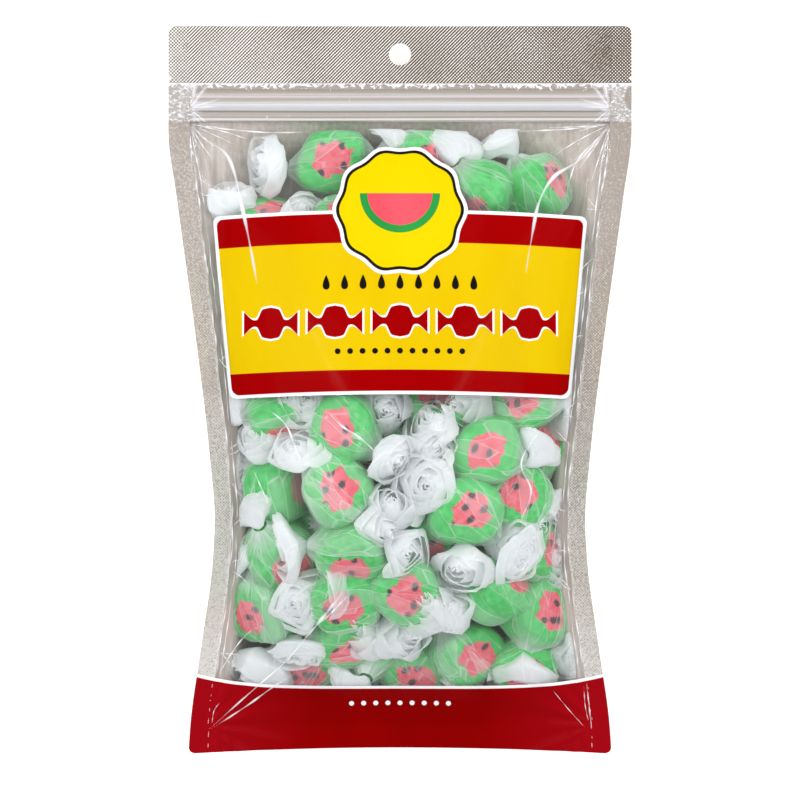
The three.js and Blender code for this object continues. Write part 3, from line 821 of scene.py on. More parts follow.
@dataclass(frozen=True)
class WaxedPaper(Finish):
    """Thin waxed tissue: nearly clear where it clings to the sweet, milky where it stands free.

    The vertex attribute "loose" is 0 on the sweet and 1 in the twists, and "edge" is 1 at cut edges.
    The vertex attribute "sheet" holds the place on the flat sheet, in mm, with a sharp fold at
    each whole number of fold widths.
    """

    panel: str = "#fdfeff"
    crease: str = "#ffffff"
    cling: float = 0.035
    free: float = 0.84
    patch: float = 0.25
    line_share: float = 0.38
    loose_line_share: float = 0.1
    line_width: float = 0.045
    line_cell: float = 5.0
    cell_stretch: float = 0.24
    cell_depth: float = 1.2
    fold_width: float = 8.0
    slant_share: float = 0.22
    mark_share: float = 0.4
    through_share: float = 0.6
    wax_share: float = 0.05

    def material(self) -> bpy.types.Material:
        """White that lets light through, with more of it in folds, at edges and at a slant.

        Between its fold lines the paper stands off in some facets and clings in the others.
        """
        material, tree, _ = self.start()
        sheet = add(tree, "ShaderNodeAttribute", attribute_name="sheet").outputs["Vector"]
        loose = add(tree, "ShaderNodeAttribute", attribute_name="loose").outputs["Fac"]
        edge = add(tree, "ShaderNodeAttribute", attribute_name="edge").outputs["Fac"]
        drawn = add(tree, "ShaderNodeMapping", {
            "Vector": sheet, "Scale": (1.0, self.cell_stretch, 1.0)})
        cells = add(tree, "ShaderNodeTexVoronoi", {
            "Vector": drawn,
            "Scale": 1 / self.line_cell}, feature="DISTANCE_TO_EDGE", voronoi_dimensions="3D")
        faint = add(tree, "ShaderNodeMapRange", {
            "Value": loose, "To Min": self.line_share, "To Max": self.loose_line_share})
        lines = add(tree, "ShaderNodeMapRange", {
            "Value": cells, "From Min": self.line_width, "From Max": 0.0, "To Max": faint})
        split = add(tree, "ShaderNodeSeparateXYZ", {0: sheet})
        widths = add(tree, "ShaderNodeMath", {
            0: split.outputs[0], 1: self.fold_width}, operation="DIVIDE")
        off = add(tree, "ShaderNodeMath", {0: widths, 1: 0.5}, operation="PINGPONG")
        near = add(tree, "ShaderNodeMapRange", {
            "Value": off, "From Min": 0.035, "From Max": 0.01, "To Max": 0.5})
        folds = add(tree, "ShaderNodeMath", {0: near, 1: loose}, operation="MULTIPLY")
        marks = add(tree, "ShaderNodeMath", {0: folds, 1: edge}, operation="MAXIMUM")
        facets = add(tree, "ShaderNodeTexVoronoi", {
            "Vector": drawn, "Scale": 1 / self.line_cell}, feature="F1", voronoi_dimensions="3D")
        stand_off = add(tree, "ShaderNodeMapRange", {
            "Value": facets.outputs["Color"], "From Min": 0.42, "From Max": 0.7, "To Max": self.patch})
        slant = add(tree, "ShaderNodeLayerWeight", {"Blend": 0.35})
        base = add(tree, "ShaderNodeMapRange", {
            "Value": loose, "To Min": self.cling, "To Max": self.free})
        shares = [base]
        for extra, weight in ((lines, 1.0), (stand_off, 1.0),
                              (slant.outputs["Facing"], self.slant_share),
                              (marks, self.mark_share)):
            total = add(tree, "ShaderNodeMath", {
                0: extra, 1: weight, 2: shares[-1]}, operation="MULTIPLY_ADD", use_clamp=True)
            shares.append(total)
        bright = add(tree, "ShaderNodeMath", {
            0: lines, 1: 1.5, 2: marks}, operation="MULTIPLY_ADD", use_clamp=True)
        colour = add(tree, "ShaderNodeMix", {
            "Factor": bright, "A": linear(self.panel), "B": linear(self.crease)}, data_type="RGBA")
        bump = add(tree, "ShaderNodeBump", {
            "Height": cells, "Strength": 0.35, "Distance": self.cell_depth * MM})
        clear = add(tree, "ShaderNodeBsdfTransparent", {"Color": (1, 1, 1, 1)})
        lit = add(tree, "ShaderNodeBsdfDiffuse", {"Color": colour, "Normal": bump})
        through = add(tree, "ShaderNodeBsdfTranslucent", {"Color": colour, "Normal": bump})
        paper = add(tree, "ShaderNodeMixShader", {0: self.through_share, 1: lit, 2: through})
        wax = add(tree, "ShaderNodeBsdfAnisotropic", {
            "Color": (1, 1, 1, 1), "Roughness": 0.3, "Normal": bump})
        glazed = add(tree, "ShaderNodeMixShader", {0: self.wax_share, 1: paper, 2: wax})
        shader = add(tree, "ShaderNodeMixShader", {0: shares[-1], 1: clear, 2: glazed})
        self.end(tree, shader)
        return material


@dataclass
class FilmBag:
    """The pouch itself: silver back, clear front, side welds, zip, header and its sharp folds.

    A zip ridge is its place up the pouch, how high it stands, and its half width.
    """

    film_step: float = 0.75
    film_columns: int = 195
    film_sheet: float = 0.12
    film_foot: float = -108.5
    plain_foot: float = -3.0
    plain_top: float = 51.0
    overlap: float = 0.3
    back_grid: tuple[int, int] = (150, 181)
    back_share: float = 0.995
    back_ripple: float = 0.12
    back_ripple_reach: float = 12.0
    back_ripple_pitch: float = 9.0
    weld_grid: tuple[int, int] = (330, 15)
    weld_upper: float = 0.72
    weld_lower: float = 0.42
    weld_fold: float = 0.35
    weld_fold_foot: float = -104.0
    weld_fold_full: float = -100.0
    weld_wave: float = 0.12
    zip_step: float = 0.15
    zip_columns: int = 260
    zip_crushed: tuple[float, float] = (70.5, 75.2)
    zip_fan_height: float = 0.35
    zip_fan_at: tuple[float, float] = (76.5, 96.5)
    ridges: tuple = ((95.2, 0.45, 0.5), (96.6, 0.6, 0.6), (99.8, 1.3, 1.9), (104.6, 0.45, 0.7),
                     (106.2, 0.25, 0.4), (102.9, 0.3, 0.35))
    fan_corner: tuple[float, float] = (74.7, 93.7)
    fan_angles_deg: tuple[float, ...] = (7, 16, 29, 43, 57, 68, 77, 85)
    ribbon_step: float = 0.7

    def build(self) -> None:
        """Build every piece of the bag."""
        self.back()
        self.front()
        self.side_welds()
        self.zip_strip()
        self.header()
        self.folds()

    def back(self) -> None:
        """Silver back sheet, out to the welds: the underside, with a wall of one sheet."""
        rows = np.linspace(FORM.bottom + 0.3, FORM.zip_top, self.back_grid[0])
        c, y = np.meshgrid(np.linspace(-1, 1, self.back_grid[1]), rows)
        x = FORM.on_outline(c * self.back_share, y)
        low = np.minimum(FORM.underside(x, y), FORM.meeting(x, y) - FORM.sheet)
        inside = np.maximum(0, FORM.seam_half(y) - np.abs(x))
        fading = np.exp(-(inside / self.back_ripple_reach) ** 2) * smooth(0, 3, inside)
        wander = 0.6 * np.sin(y / 17)
        wave = (self.back_ripple * fading
                * np.sin(2 * np.pi * (inside / self.back_ripple_pitch + wander)))
        upper = np.maximum(low + FORM.back_sheet, np.where(inside > 0, FORM.lining(x, y), 0))
        points, quads = plate(x, y, upper + wave, low + wave)
        Piece("silver_back", points, quads, SilverLaminate("metallised laminate").material(),
              "silver_film", ("back_film",), sharp_deg=50).make()

    def front(self) -> None:
        """Clear front sheet over the window: rows are wider under the label, where print hides it."""
        rows = np.concatenate([
            np.arange(self.film_foot, self.plain_foot, self.film_step),
            np.arange(self.plain_foot, self.plain_top, 3 * self.film_step),
            np.arange(self.plain_top, FORM.window_top + 0.6, self.film_step)])
        c, y = np.meshgrid(np.linspace(-1, 1, self.film_columns), rows)
        x = c * (FORM.seam_half(y) + self.overlap)
        upper = FORM.film(x, y)
        points, quads = plate(x, y, upper, upper - self.film_sheet)
        Piece("clear_front", points, quads, ClearFilm("cast polypropylene film").material(),
              "clear_film", ("front_film",), sharp_deg=60).make()

    def side_welds(self) -> None:
        """Side welds: a flat strip from each seam to the edge, with a soft fold along the seam."""
        # The rib and groove colours are a painted highlight and painted shade.
        material = EmbossedWeld("embossed side weld", painted_rib_highlight="#dbd6d1", painted_groove_shade="#9b9087", pitch=0.72,
                                crossed_from=0.0, edge_softness=1.4, lean=0.5, raggedness=9.0,
                                rib_share_drop=0.75, top_darkening=1.8).material()
        rows = np.linspace(FORM.bottom + 0.05, FORM.zip_top, self.weld_grid[0])
        for name, side in (("weld_left", -1), ("weld_right", 1)):
            t, y = np.meshgrid(np.linspace(0, 1, self.weld_grid[1]), rows)
            if side < 0:
                t = 1 - t
            seam = FORM.seam_half(y) - self.overlap
            x = side * (seam + (FORM.trimmed_half(y) - seam) * t)
            fold = self.weld_fold * np.exp(-(t / 0.07) ** 2)
            fold = fold * (1 + 0.5 * np.sin(y / 3.1) * np.sin(y / 7.7))
            fold = fold * smooth(self.weld_fold_foot, self.weld_fold_full, y)
            wave = self.weld_wave * np.sin(y / 5.3 + side) * t
            middle = FORM.meeting(x, y) + wave
            points, quads = plate(x, y, middle + self.weld_upper + fold, middle - self.weld_lower)
            Piece(name, points, quads, material, "silver_film", sharp_deg=50).make()

    def zip_strip(self) -> None:
        """Closing strip: level ridges across the pouch, crushed flat at both ends."""
        rows = np.arange(FORM.zip_foot, FORM.zip_top + 0.01, self.zip_step)
        c, y = np.meshgrid(np.linspace(-1, 1, self.zip_columns), rows)
        x = FORM.on_outline(c, y)
        ease = 1 - smooth(*self.zip_crushed, np.abs(x))
        height = np.zeros_like(x)
        for at, high, half in self.ridges:
            shape = np.clip(1 - ((y - at - 0.1 * np.sin(x / 23)) / half) ** 2, 0, 1) ** 0.6
            height = np.maximum(height, high * shape)
        crush = smooth(68, 73, np.abs(x)) * (1 - smooth(75.5, 78, np.abs(x)))
        angle = np.arctan2(y - self.zip_fan_at[1], self.zip_fan_at[0] - np.abs(x))
        fan = self.zip_fan_height * crush * np.abs(np.sin(9 * angle + np.sign(x)))
        upper = FORM.meeting(x, y) + FORM.gap + FORM.sheet + height * ease + fan
        points, quads = plate(x, y, upper, FORM.meeting(x, y) + FORM.gap)
        Piece("zip_bar", points, quads, ZipPlastic("extruded zip strip").material(),
              "clear_film", ("zip_strip",), sharp_deg=60).make()

    def header(self) -> None:
        """Dress the header's own solid, which has its hang hole and tear notches."""
        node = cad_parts["header_weld"]
        node.data.materials.clear()
        node.data.materials.append(EmbossedWeld("embossed header weld").material())

    def folds(self) -> None:
        """Sharp folds with a painted white glint: tapered ribbons that arch over the film along their
        routes.
        """
        strips, quads, painted_glint_cores = [], [], []
        start = 0
        for route, width, height in FOLD_ROUTES + self.seam_lines() + self.corner_fans():
            points, core = self.ribbon(np.array(route, dtype=float), width, height)
            rows, columns = core.shape
            strips.append(points.reshape(-1, 3))
            painted_glint_cores.append(core.ravel())
            quads.append(grid_quads(rows, columns) + start)
            start += rows * columns
        Piece("film_folds", np.concatenate(strips), np.concatenate(quads),
              PaintedGlintFold("film fold with painted glint").material(), "clear_film",
              numbers={"core": np.concatenate(painted_glint_cores)}).make()

    @staticmethod
    def seam_lines() -> tuple:
        """Routes of the white lines beside each side weld, where the film bends out of the weld.

        Two lines follow the weld's inner edge, each at its own distance and a little shaken, in
        lengths with short gaps between them. Short creases run inwards from them at a slant. On
        the printed foot only short dashes show. Their white is a painted glint.

        Returns:
            Each route as points [x, y], with its greatest width and height.
        """
        rng = np.random.default_rng(21)
        made = []
        for side in (-1, 1):
            for inside, width, height in ((0.5, 1.15, 0.4), (2.2, 0.8, 0.3)):
                foot = -103.0
                while foot < 86:
                    length = rng.uniform(12, 38)
                    y = np.linspace(foot, min(foot + length, 90), 6)
                    x = side * (FORM.seam_half(y) - inside - rng.uniform(-0.25, 0.25, 6))
                    made.append((tuple(zip(x, y)), width * rng.uniform(0.6, 1.1), height))
                    foot += length + rng.uniform(1, 5)
            foot = -127.0
            while foot < -105:
                length = rng.uniform(0.5, 2.8)
                y = np.array([foot, foot + length])
                x = side * (FORM.seam_half(y) + rng.uniform(-0.1, 0.5))
                made.append((tuple(zip(x, y)), rng.uniform(0.25, 0.5), 0.3))
                foot += length + rng.uniform(0.3, 2.4)
            for y in rng.uniform(-98, 80, 12):
                reach, slope, bend = rng.uniform((3, -1.3, -0.8), (7.5, 1.3, 0.8))
                seam = float(FORM.seam_half(np.array(y))) - 0.8
                halfway = (side * (seam - reach / 2), y + slope * reach / 2 + bend)
                tip = (side * (seam - reach), y + slope * reach)
                made.append((((side * seam, y), halfway, tip), 0.55, 0.25))
        return tuple(made)

    def corner_fans(self) -> tuple:
        """Routes of the creases that spread from both ends of the zip.

        Returns:
            Each route as points [x, y], with its greatest width and height.
        """
        rng = np.random.default_rng(22)
        made = []
        for side in (-1, 1):
            for angle in self.fan_angles_deg:
                turn = math.radians(angle + rng.uniform(-4, 4))
                ahead = np.array([-side * math.cos(turn), -math.sin(turn)])
                beside = np.array([-ahead[1], ahead[0]]) * rng.uniform(-0.6, 0.6)
                reach = rng.uniform(9, 24)
                corner = np.array([side * self.fan_corner[0], self.fan_corner[1]])
                route = [corner + ahead * (0.8 + reach * t) + beside * math.sin(math.pi * t)
                         for t in (0.0, 0.5, 1.0)]
                made.append((route, rng.uniform(0.45, 0.8), 0.3))
        return tuple(made)

    def ribbon(self, route: np.ndarray, width: float, height: float) -> tuple:
        """One fold along a route of [x, y] points.

        The route is smoothed by a cubic through its points. The fold's width and height swell and
        fade along it as a sine, and across it the film arches as a cosine.

        Args:
            route: the points that it passes, from end to end.
            width: greatest width.
            height: greatest height over the film.

        Returns:
            Vertices as rows by columns by 3, and how strong the fold's painted glint is at each.
        """
        steps = np.concatenate([[0], np.cumsum(np.linalg.norm(np.diff(route, axis=0), axis=1))])
        count = max(12, int(steps[-1] / self.ribbon_step))
        at = np.linspace(0, steps[-1], count)
        curve = np.stack([Stations(tuple(zip(steps, route[:, k]))).at(at) for k in (0, 1)], axis=-1)
        ahead = unit(np.gradient(curve, axis=0))
        beside = np.stack([-ahead[:, 1], ahead[:, 0]], axis=-1)
        t = at / steps[-1]
        swell = np.sin(np.pi * np.clip(t, 0.02, 0.98)) ** 0.5
        swell = swell * (0.75 + 0.25 * np.sin(23 * t + route[0, 0]))
        across = np.linspace(-1, 1, 9)
        place = curve[:, None, :] + beside[:, None, :] * (across[None, :, None] * width / 2
                                                          * swell[:, None, None])
        x, y = place[..., 0], place[..., 1]
        arch = np.cos(across * np.pi / 2)[None, :] * swell[:, None]
        z = FORM.film(x, y) + 0.05 + height * arch
        # How strong the painted glint is, across and along the fold.
        core = smooth(0.1, 0.75, np.cos(across * np.pi / 2))[None, :] * swell[:, None]
        return np.stack([x, y, z], axis=-1), core


# Routes of the sharp folds, each as points [x, y] with its greatest width and height
FOLD_ROUTES = (
    (((-73.9, 92.9), (-69.3, 88.2), (-62.2, 83.3), (-59.3, 78.2), (-55.7, 64), (-53, 52),
      (-49, 31)), 1.9, 0.7),
    (((-73.5, 93.3), (-58, 91.4), (-44, 90.4), (-31, 90.6)), 0.9, 0.35),
    (((73.5, 93.3), (58, 91.6), (42, 90.8)), 0.9, 0.35),
    (((74, 92.5), (63.5, 80.5), (54, 74), (48.5, 64), (46, 52), (43.5, 38)), 1.8, 0.7),
    (((73, 91), (62, 79), (58.5, 68)), 0.9, 0.4),
    (((-46.5, -7), (-39.5, -13), (-34.7, -24), (-30.5, -29)), 1.0, 0.5),
    (((-25, -8.5), (-20.5, -13), (-13, -18), (-7.7, -23)), 1.2, 0.5),
    (((-51, -29), (-45.5, -41)), 0.8, 0.4),
    (((-67.1, -120.3), (-51.1, -106), (-40.9, -96.9), (-30, -84)), 1.0, 0.5),
    (((-66.6, -120.3), (-53.5, -112), (-45.9, -106.4), (-37, -100.5)), 1.0, 0.5),
    (((-34, -88.5), (-26, -79), (-19.6, -70.5)), 1.7, 0.5),
    (((-66.3, -119), (-65.6, -114.2), (-63, -110.3)), 0.5, 0.35),
    (((67.6, -121), (66.4, -111), (65.6, -103.5)), 0.7, 0.4),
    (((66.6, -118.5), (65.2, -112), (64.6, -104.6)), 0.5, 0.35),
    (((66.3, -121), (59, -113), (52, -104.3)), 0.45, 0.3),
    (((-64, -101), (-56, -89), (-51.5, -84.5)), 0.8, 0.4),
    (((-27, -81.5), (-18, -72)), 1.0, 0.5),
    (((49.5, -13.5), (42, -27), (45.5, -36), (41.5, -47)), 0.9, 0.4),
)


class Layer(Enum):
    """Height of a printed layer over the film, in mm. Each lies on the one before it."""

    SHEET = 0.08
    FIELD = 0.16
    MARK_EDGE = 0.24
    MARK = 0.32
    GROUND = 0.40
    DETAIL = 0.48


@dataclass
class PrintWork:
    """Print on the front film: label with fields and a badge, and the printed foot of the pouch."""

    label_top: float = 62.0
    label_foot: float = -2.4
    label_sag: float = 1.6
    top_half: float = 66.2
    foot_half: float = 59.8
    label_radius: float = 2.6
    row_step: float = 0.9
    margin: float = 1.2
    top_band_foot: float = 50.4
    foot_band_top: float = 6.1
    skin: float = 0.07
    badge_y: float = 62.0
    badge_radius: float = 23.0
    badge_rim: float = 1.3
    badge_line: float = 1.1
    scallops: int = 10
    scallop_depth: float = 0.03
    melon_radius: float = 14.0
    melon_rind: float = 2.6
    melon_raise: float = 0.42
    mark_count: int = 5
    mark_y: float = 23.0
    mark_pitch: float = 22.5
    mark_length: float = 19.0
    mark_height: float = 11.0
    mark_edge: float = 0.7
    mark_outline: Stations = Stations(((0, 1), (0.3, 0.88), (0.52, 0.22), (0.6, 0.2), (1, 0.72)))
    seed_count: int = 9
    seed_pitch: float = 6.4
    seed_y: float = 36.6
    seed_half: tuple[float, float] = (1.7, 2.5)
    seed_point: float = 0.75
    dot_count: int = 11
    dot_pitch: float = 4.3
    dot_y: float = 12.6
    dot_half: tuple[float, float] = (1.0, 1.0)
    foot_dot_y: float = -112.0
    foot_dot_half: tuple[float, float] = (0.9, 0.9)
    band_middle: float = -105.4
    band_rise: float = 5.0
    band_line: float = 1.1

    def __post_init__(self) -> None:
        """Make each ink once."""
        self.white = PrintedInk("white ink", "#f8f8f8", "#ececf0").material()
        self.red = PrintedInk("red ink", "#9c0002", "#940002").material()
        self.yellow = PrintedInk("yellow ink", "#dfbc07", "#dbb404").material()
        self.lemon = PrintedInk("lemon yellow ink", "#e5cb02", "#e2c601").material()
        self.pink = PrintedInk("pink ink", "#ee5a66", "#e04a58").material()
        self.green = PrintedInk("green ink", "#2f9a45", "#27893c").material()
        self.dark = PrintedInk("dark ink", "#17120f", "#241c17").material()

    def build(self) -> None:
        """Print every field, from the lowest layer to the highest."""
        margin = self.margin
        self.field("label_white", self.label_foot, self.label_top, 0, Layer.SHEET, self.white,
                   "print_white", "label_sheet")
        self.field("label_red_top", self.top_band_foot, self.label_top - margin, margin,
                   Layer.FIELD, self.red, "print_red", "label_top_band")
        self.field("label_yellow", self.foot_band_top, self.top_band_foot, margin,
                   Layer.FIELD, self.yellow, "print_yellow", "label_field")
        self.field("label_red_foot", self.label_foot + margin, self.foot_band_top, margin,
                   Layer.FIELD, self.red, "print_red", "label_foot_band")
        self.badge()
        self.marks()
        self.row("label_seeds", self.seed_count, self.seed_pitch, self.seed_y, self.seed_half,
                 self.seed_point, self.dark, "print_dark")
        self.row("label_dots", self.dot_count, self.dot_pitch, self.dot_y, self.dot_half, 0.0,
                 self.dark, "print_dark")
        self.foot_of_pouch()
        self.row("foot_dots", self.seed_count, self.dot_pitch, self.foot_dot_y,
                 self.foot_dot_half, 0.0, self.white, "print_white")

    def skin_piece(self, name: str, x: np.ndarray, y: np.ndarray, layer: Layer,
                   material: bpy.types.Material, slot: str, replaces: tuple[str, ...] = ()) -> None:
        """Lay a thin closed skin over the film at its layer's height."""
        base = FORM.film(x, y) + layer.value
        points, quads = plate(x, y, base + self.skin, base)
        Piece(name, points, quads, material, slot, replaces, sharp_deg=60).make()

    def field(self, name: str, foot: float, top: float, inset: float, layer: Layer,
              material: bpy.types.Material, slot: str, node: str) -> None:
        """One level field of the label, from foot to top between its two slanted sides.

        The half width grows evenly from the label's foot to its top. Rounded corners draw the
        sides in near both ends, and the whole field sags by the square of its sideways share.
        """
        near_end = self.label_radius * np.linspace(0, 1, 14) ** 2
        rows = np.unique(np.concatenate([np.arange(foot, top, self.row_step), [top], foot + near_end,
                                         top - near_end]))
        rows = rows[(rows >= foot) & (rows <= top)]
        c, y = np.meshgrid(np.linspace(-1, 1, 150), rows)
        t = (y - self.label_foot) / (self.label_top - self.label_foot)
        half = self.foot_half + (self.top_half - self.foot_half) * t - inset
        ends = np.minimum(self.label_top - inset - y, y - self.label_foot - inset)
        x = c * (half - corner_inset(self.label_radius, np.maximum(ends, 0)))
        self.skin_piece(name, x, y - self.label_sag * c * c, layer, material, slot, (node,))

    def disc(self, radius: float) -> tuple[np.ndarray, np.ndarray]:
        """Places on a scalloped disc.

        A square grid is drawn onto the disc without a pole, and its rim waves in and out as a
        cosine with as many turns as there are scallops.
        """
        c, t = np.meshgrid(np.linspace(-1, 1, 61), np.linspace(-1, 1, 61))
        u, v = c * np.sqrt(1 - t * t / 2), t * np.sqrt(1 - c * c / 2)
        wave = np.cos(self.scallops * np.arctan2(v, u)) * np.hypot(u, v) ** 8
        size = radius * (1 + self.scallop_depth * wave)
        return size * u, self.badge_y + size * v

    def badge(self) -> None:
        """Badge over the label's top edge: white rim, dark line, yellow ground and a melon wedge."""
        x, y = self.disc(self.badge_radius)
        self.skin_piece("badge_white", x, y, Layer.MARK_EDGE, self.white, "print_white",
                        ("badge_rim",))
        x, y = self.disc(self.badge_radius - self.badge_rim)
        self.skin_piece("badge_line", x, y, Layer.MARK, self.dark, "print_dark")
        x, y = self.disc(self.badge_radius - self.badge_rim - self.badge_line)
        self.skin_piece("badge_yellow", x, y, Layer.GROUND, self.lemon, "print_yellow",
                        ("badge_ground",))
        flesh = 1 - self.melon_rind / self.melon_radius
        for name, inner, outer, material, slot, node in (
                ("melon_flesh", 0.0, flesh, self.pink, "print_pink", "badge_melon_flesh"),
                ("melon_rind", flesh, 1.0, self.green, "print_green", "badge_melon_rind")):
            x, y = self.wedge(inner, outer)
            self.skin_piece(name, x, y, Layer.DETAIL, material, slot, (node,))

    def wedge(self, inner: float, outer: float) -> tuple[np.ndarray, np.ndarray]:
        """Places between two shares of the radius of a half disc that hangs from its flat top."""
        c, t = np.meshgrid(np.linspace(-1, 1, 61), np.linspace(1, 0, 14))
        angle = -np.pi * (1 - c) / 2
        r = self.melon_radius * (inner + (outer - inner) * t)
        flat_top = self.badge_y + self.melon_radius * self.melon_raise
        return r * np.cos(angle), flat_top + r * np.sin(angle)

    def row(self, name: str, count: int, pitch: float, height: float, half: tuple[float, float],
            point: float, material: bpy.types.Material, slot: str) -> None:
        """Row of small printed dots or seeds, as one piece.

        A square grid is drawn onto a disc. A seed narrows evenly towards its top.

        Args:
            name: the piece's name.
            count, pitch: how many shapes, and how far apart.
            height: the row's place up the pouch, at its middle.
            half: half width and half height of one shape.
            point: share of the width that is gone at the top.
            material, slot: what it is printed in.
        """
        c, t = np.meshgrid(np.linspace(-1, 1, 13), np.linspace(-1, 1, 13))
        u, v = c * np.sqrt(1 - t * t / 2), t * np.sqrt(1 - c * c / 2)
        points, quads, start = [], [], 0
        for middle in (np.arange(count) - (count - 1) / 2) * pitch:
            x = middle + half[0] * u * (1 - point * (v + 1) / 2)
            y = height + half[1] * v - self.label_sag * (middle / self.top_half) ** 2
            base = FORM.film(x, y) + Layer.MARK_EDGE.value
            shape, faces = plate(x, y, base + self.skin, base)
            points.append(shape)
            quads.append(faces + start)
            start += len(shape)
        Piece(name, np.concatenate(points), np.concatenate(quads), material, slot,
              sharp_deg=60).make()

    def mark_shape(self, index: int, grow: float) -> tuple[np.ndarray, np.ndarray]:
        """Places on one wrapped-sweet mark: an oval body that runs out into a fan at each end.

        The half height is a smooth curve through stations along the length.
        """
        middle = (index - (self.mark_count - 1) / 2) * self.mark_pitch
        c, t = np.meshgrid(np.linspace(-1, 1, 61), np.linspace(-1, 1, 9))
        x = middle + c * (self.mark_length / 2 + grow)
        half = self.mark_outline.at(np.abs(c)) * self.mark_height / 2 + grow
        drop = self.label_sag * (middle / self.top_half) ** 2
        return x, self.mark_y + t * half - drop

    def marks(self) -> None:
        """Row of red marks with white edges, in the middle of the yellow field."""
        for index in range(self.mark_count):
            x, y = self.mark_shape(index, self.mark_edge)
            self.skin_piece(f"mark_edge_{index + 1}", x, y, Layer.MARK_EDGE, self.white,
                            "print_white")
            x, y = self.mark_shape(index, 0.0)
            self.skin_piece(f"mark_{index + 1}", x, y, Layer.MARK, self.red, "print_red",
                            (f"candy_mark_{index + 1}",))

    def band_top(self, c: np.ndarray) -> np.ndarray:
        """Top of the printed foot: level in the middle, rising as the fourth power to the sides."""
        return self.band_middle + self.band_rise * c ** 4

    def foot_of_pouch(self) -> None:
        """Printed foot: the front film from the bottom edge up to its white line."""
        c, t = np.meshgrid(np.linspace(-1, 1, 260), np.linspace(0, 1, 60))
        line = self.band_top(c) - self.band_line
        y = FORM.bottom + 0.02 + (line - FORM.bottom) * t
        x = FORM.on_outline(c, y)
        upper = FORM.film(x, y) + Layer.FIELD.value
        points, quads = plate(x, y, upper, upper - 0.5)
        # The side colour, a lighter red towards both corners, is painted light.
        red = PrintedInk("dark red ink", "#8b0001", "#820001", side="#9a0712").material()
        Piece("foot_red", points, quads, red, "print_red", ("foot_band",),
              sharp_deg=60).make()
        c, t = np.meshgrid(np.linspace(-1, 1, 260), np.linspace(0, 1, 5))
        y = self.band_top(c) - self.band_line * (1 - t)
        x = FORM.on_outline(c, y)
        upper = FORM.film(x, y) + Layer.FIELD.value
        points, quads = plate(x, y, upper, upper - 0.3)
        Piece("foot_line", points, quads, self.white, "print_white", ("foot_band_line",),
              sharp_deg=60).make()


@dataclass(frozen=True)
class Placed:
    """One wrapped piece: its middle, the way its cut face looks, and where its ends point.

    Args:
        x, y, z: middle of the piece.
        face: direction in which its cut face looks.
        turn: direction of its first end, in degrees from +X, seen from above.
        tips: for the first end and the other one, the middle of the twist's open rim as x, y and
            depth below the front film, or None where it is out of sight.
    """

    x: float
    y: float
    z: float
    face: tuple[float, float, float]
    turn: float
    tips: tuple = (None, None)
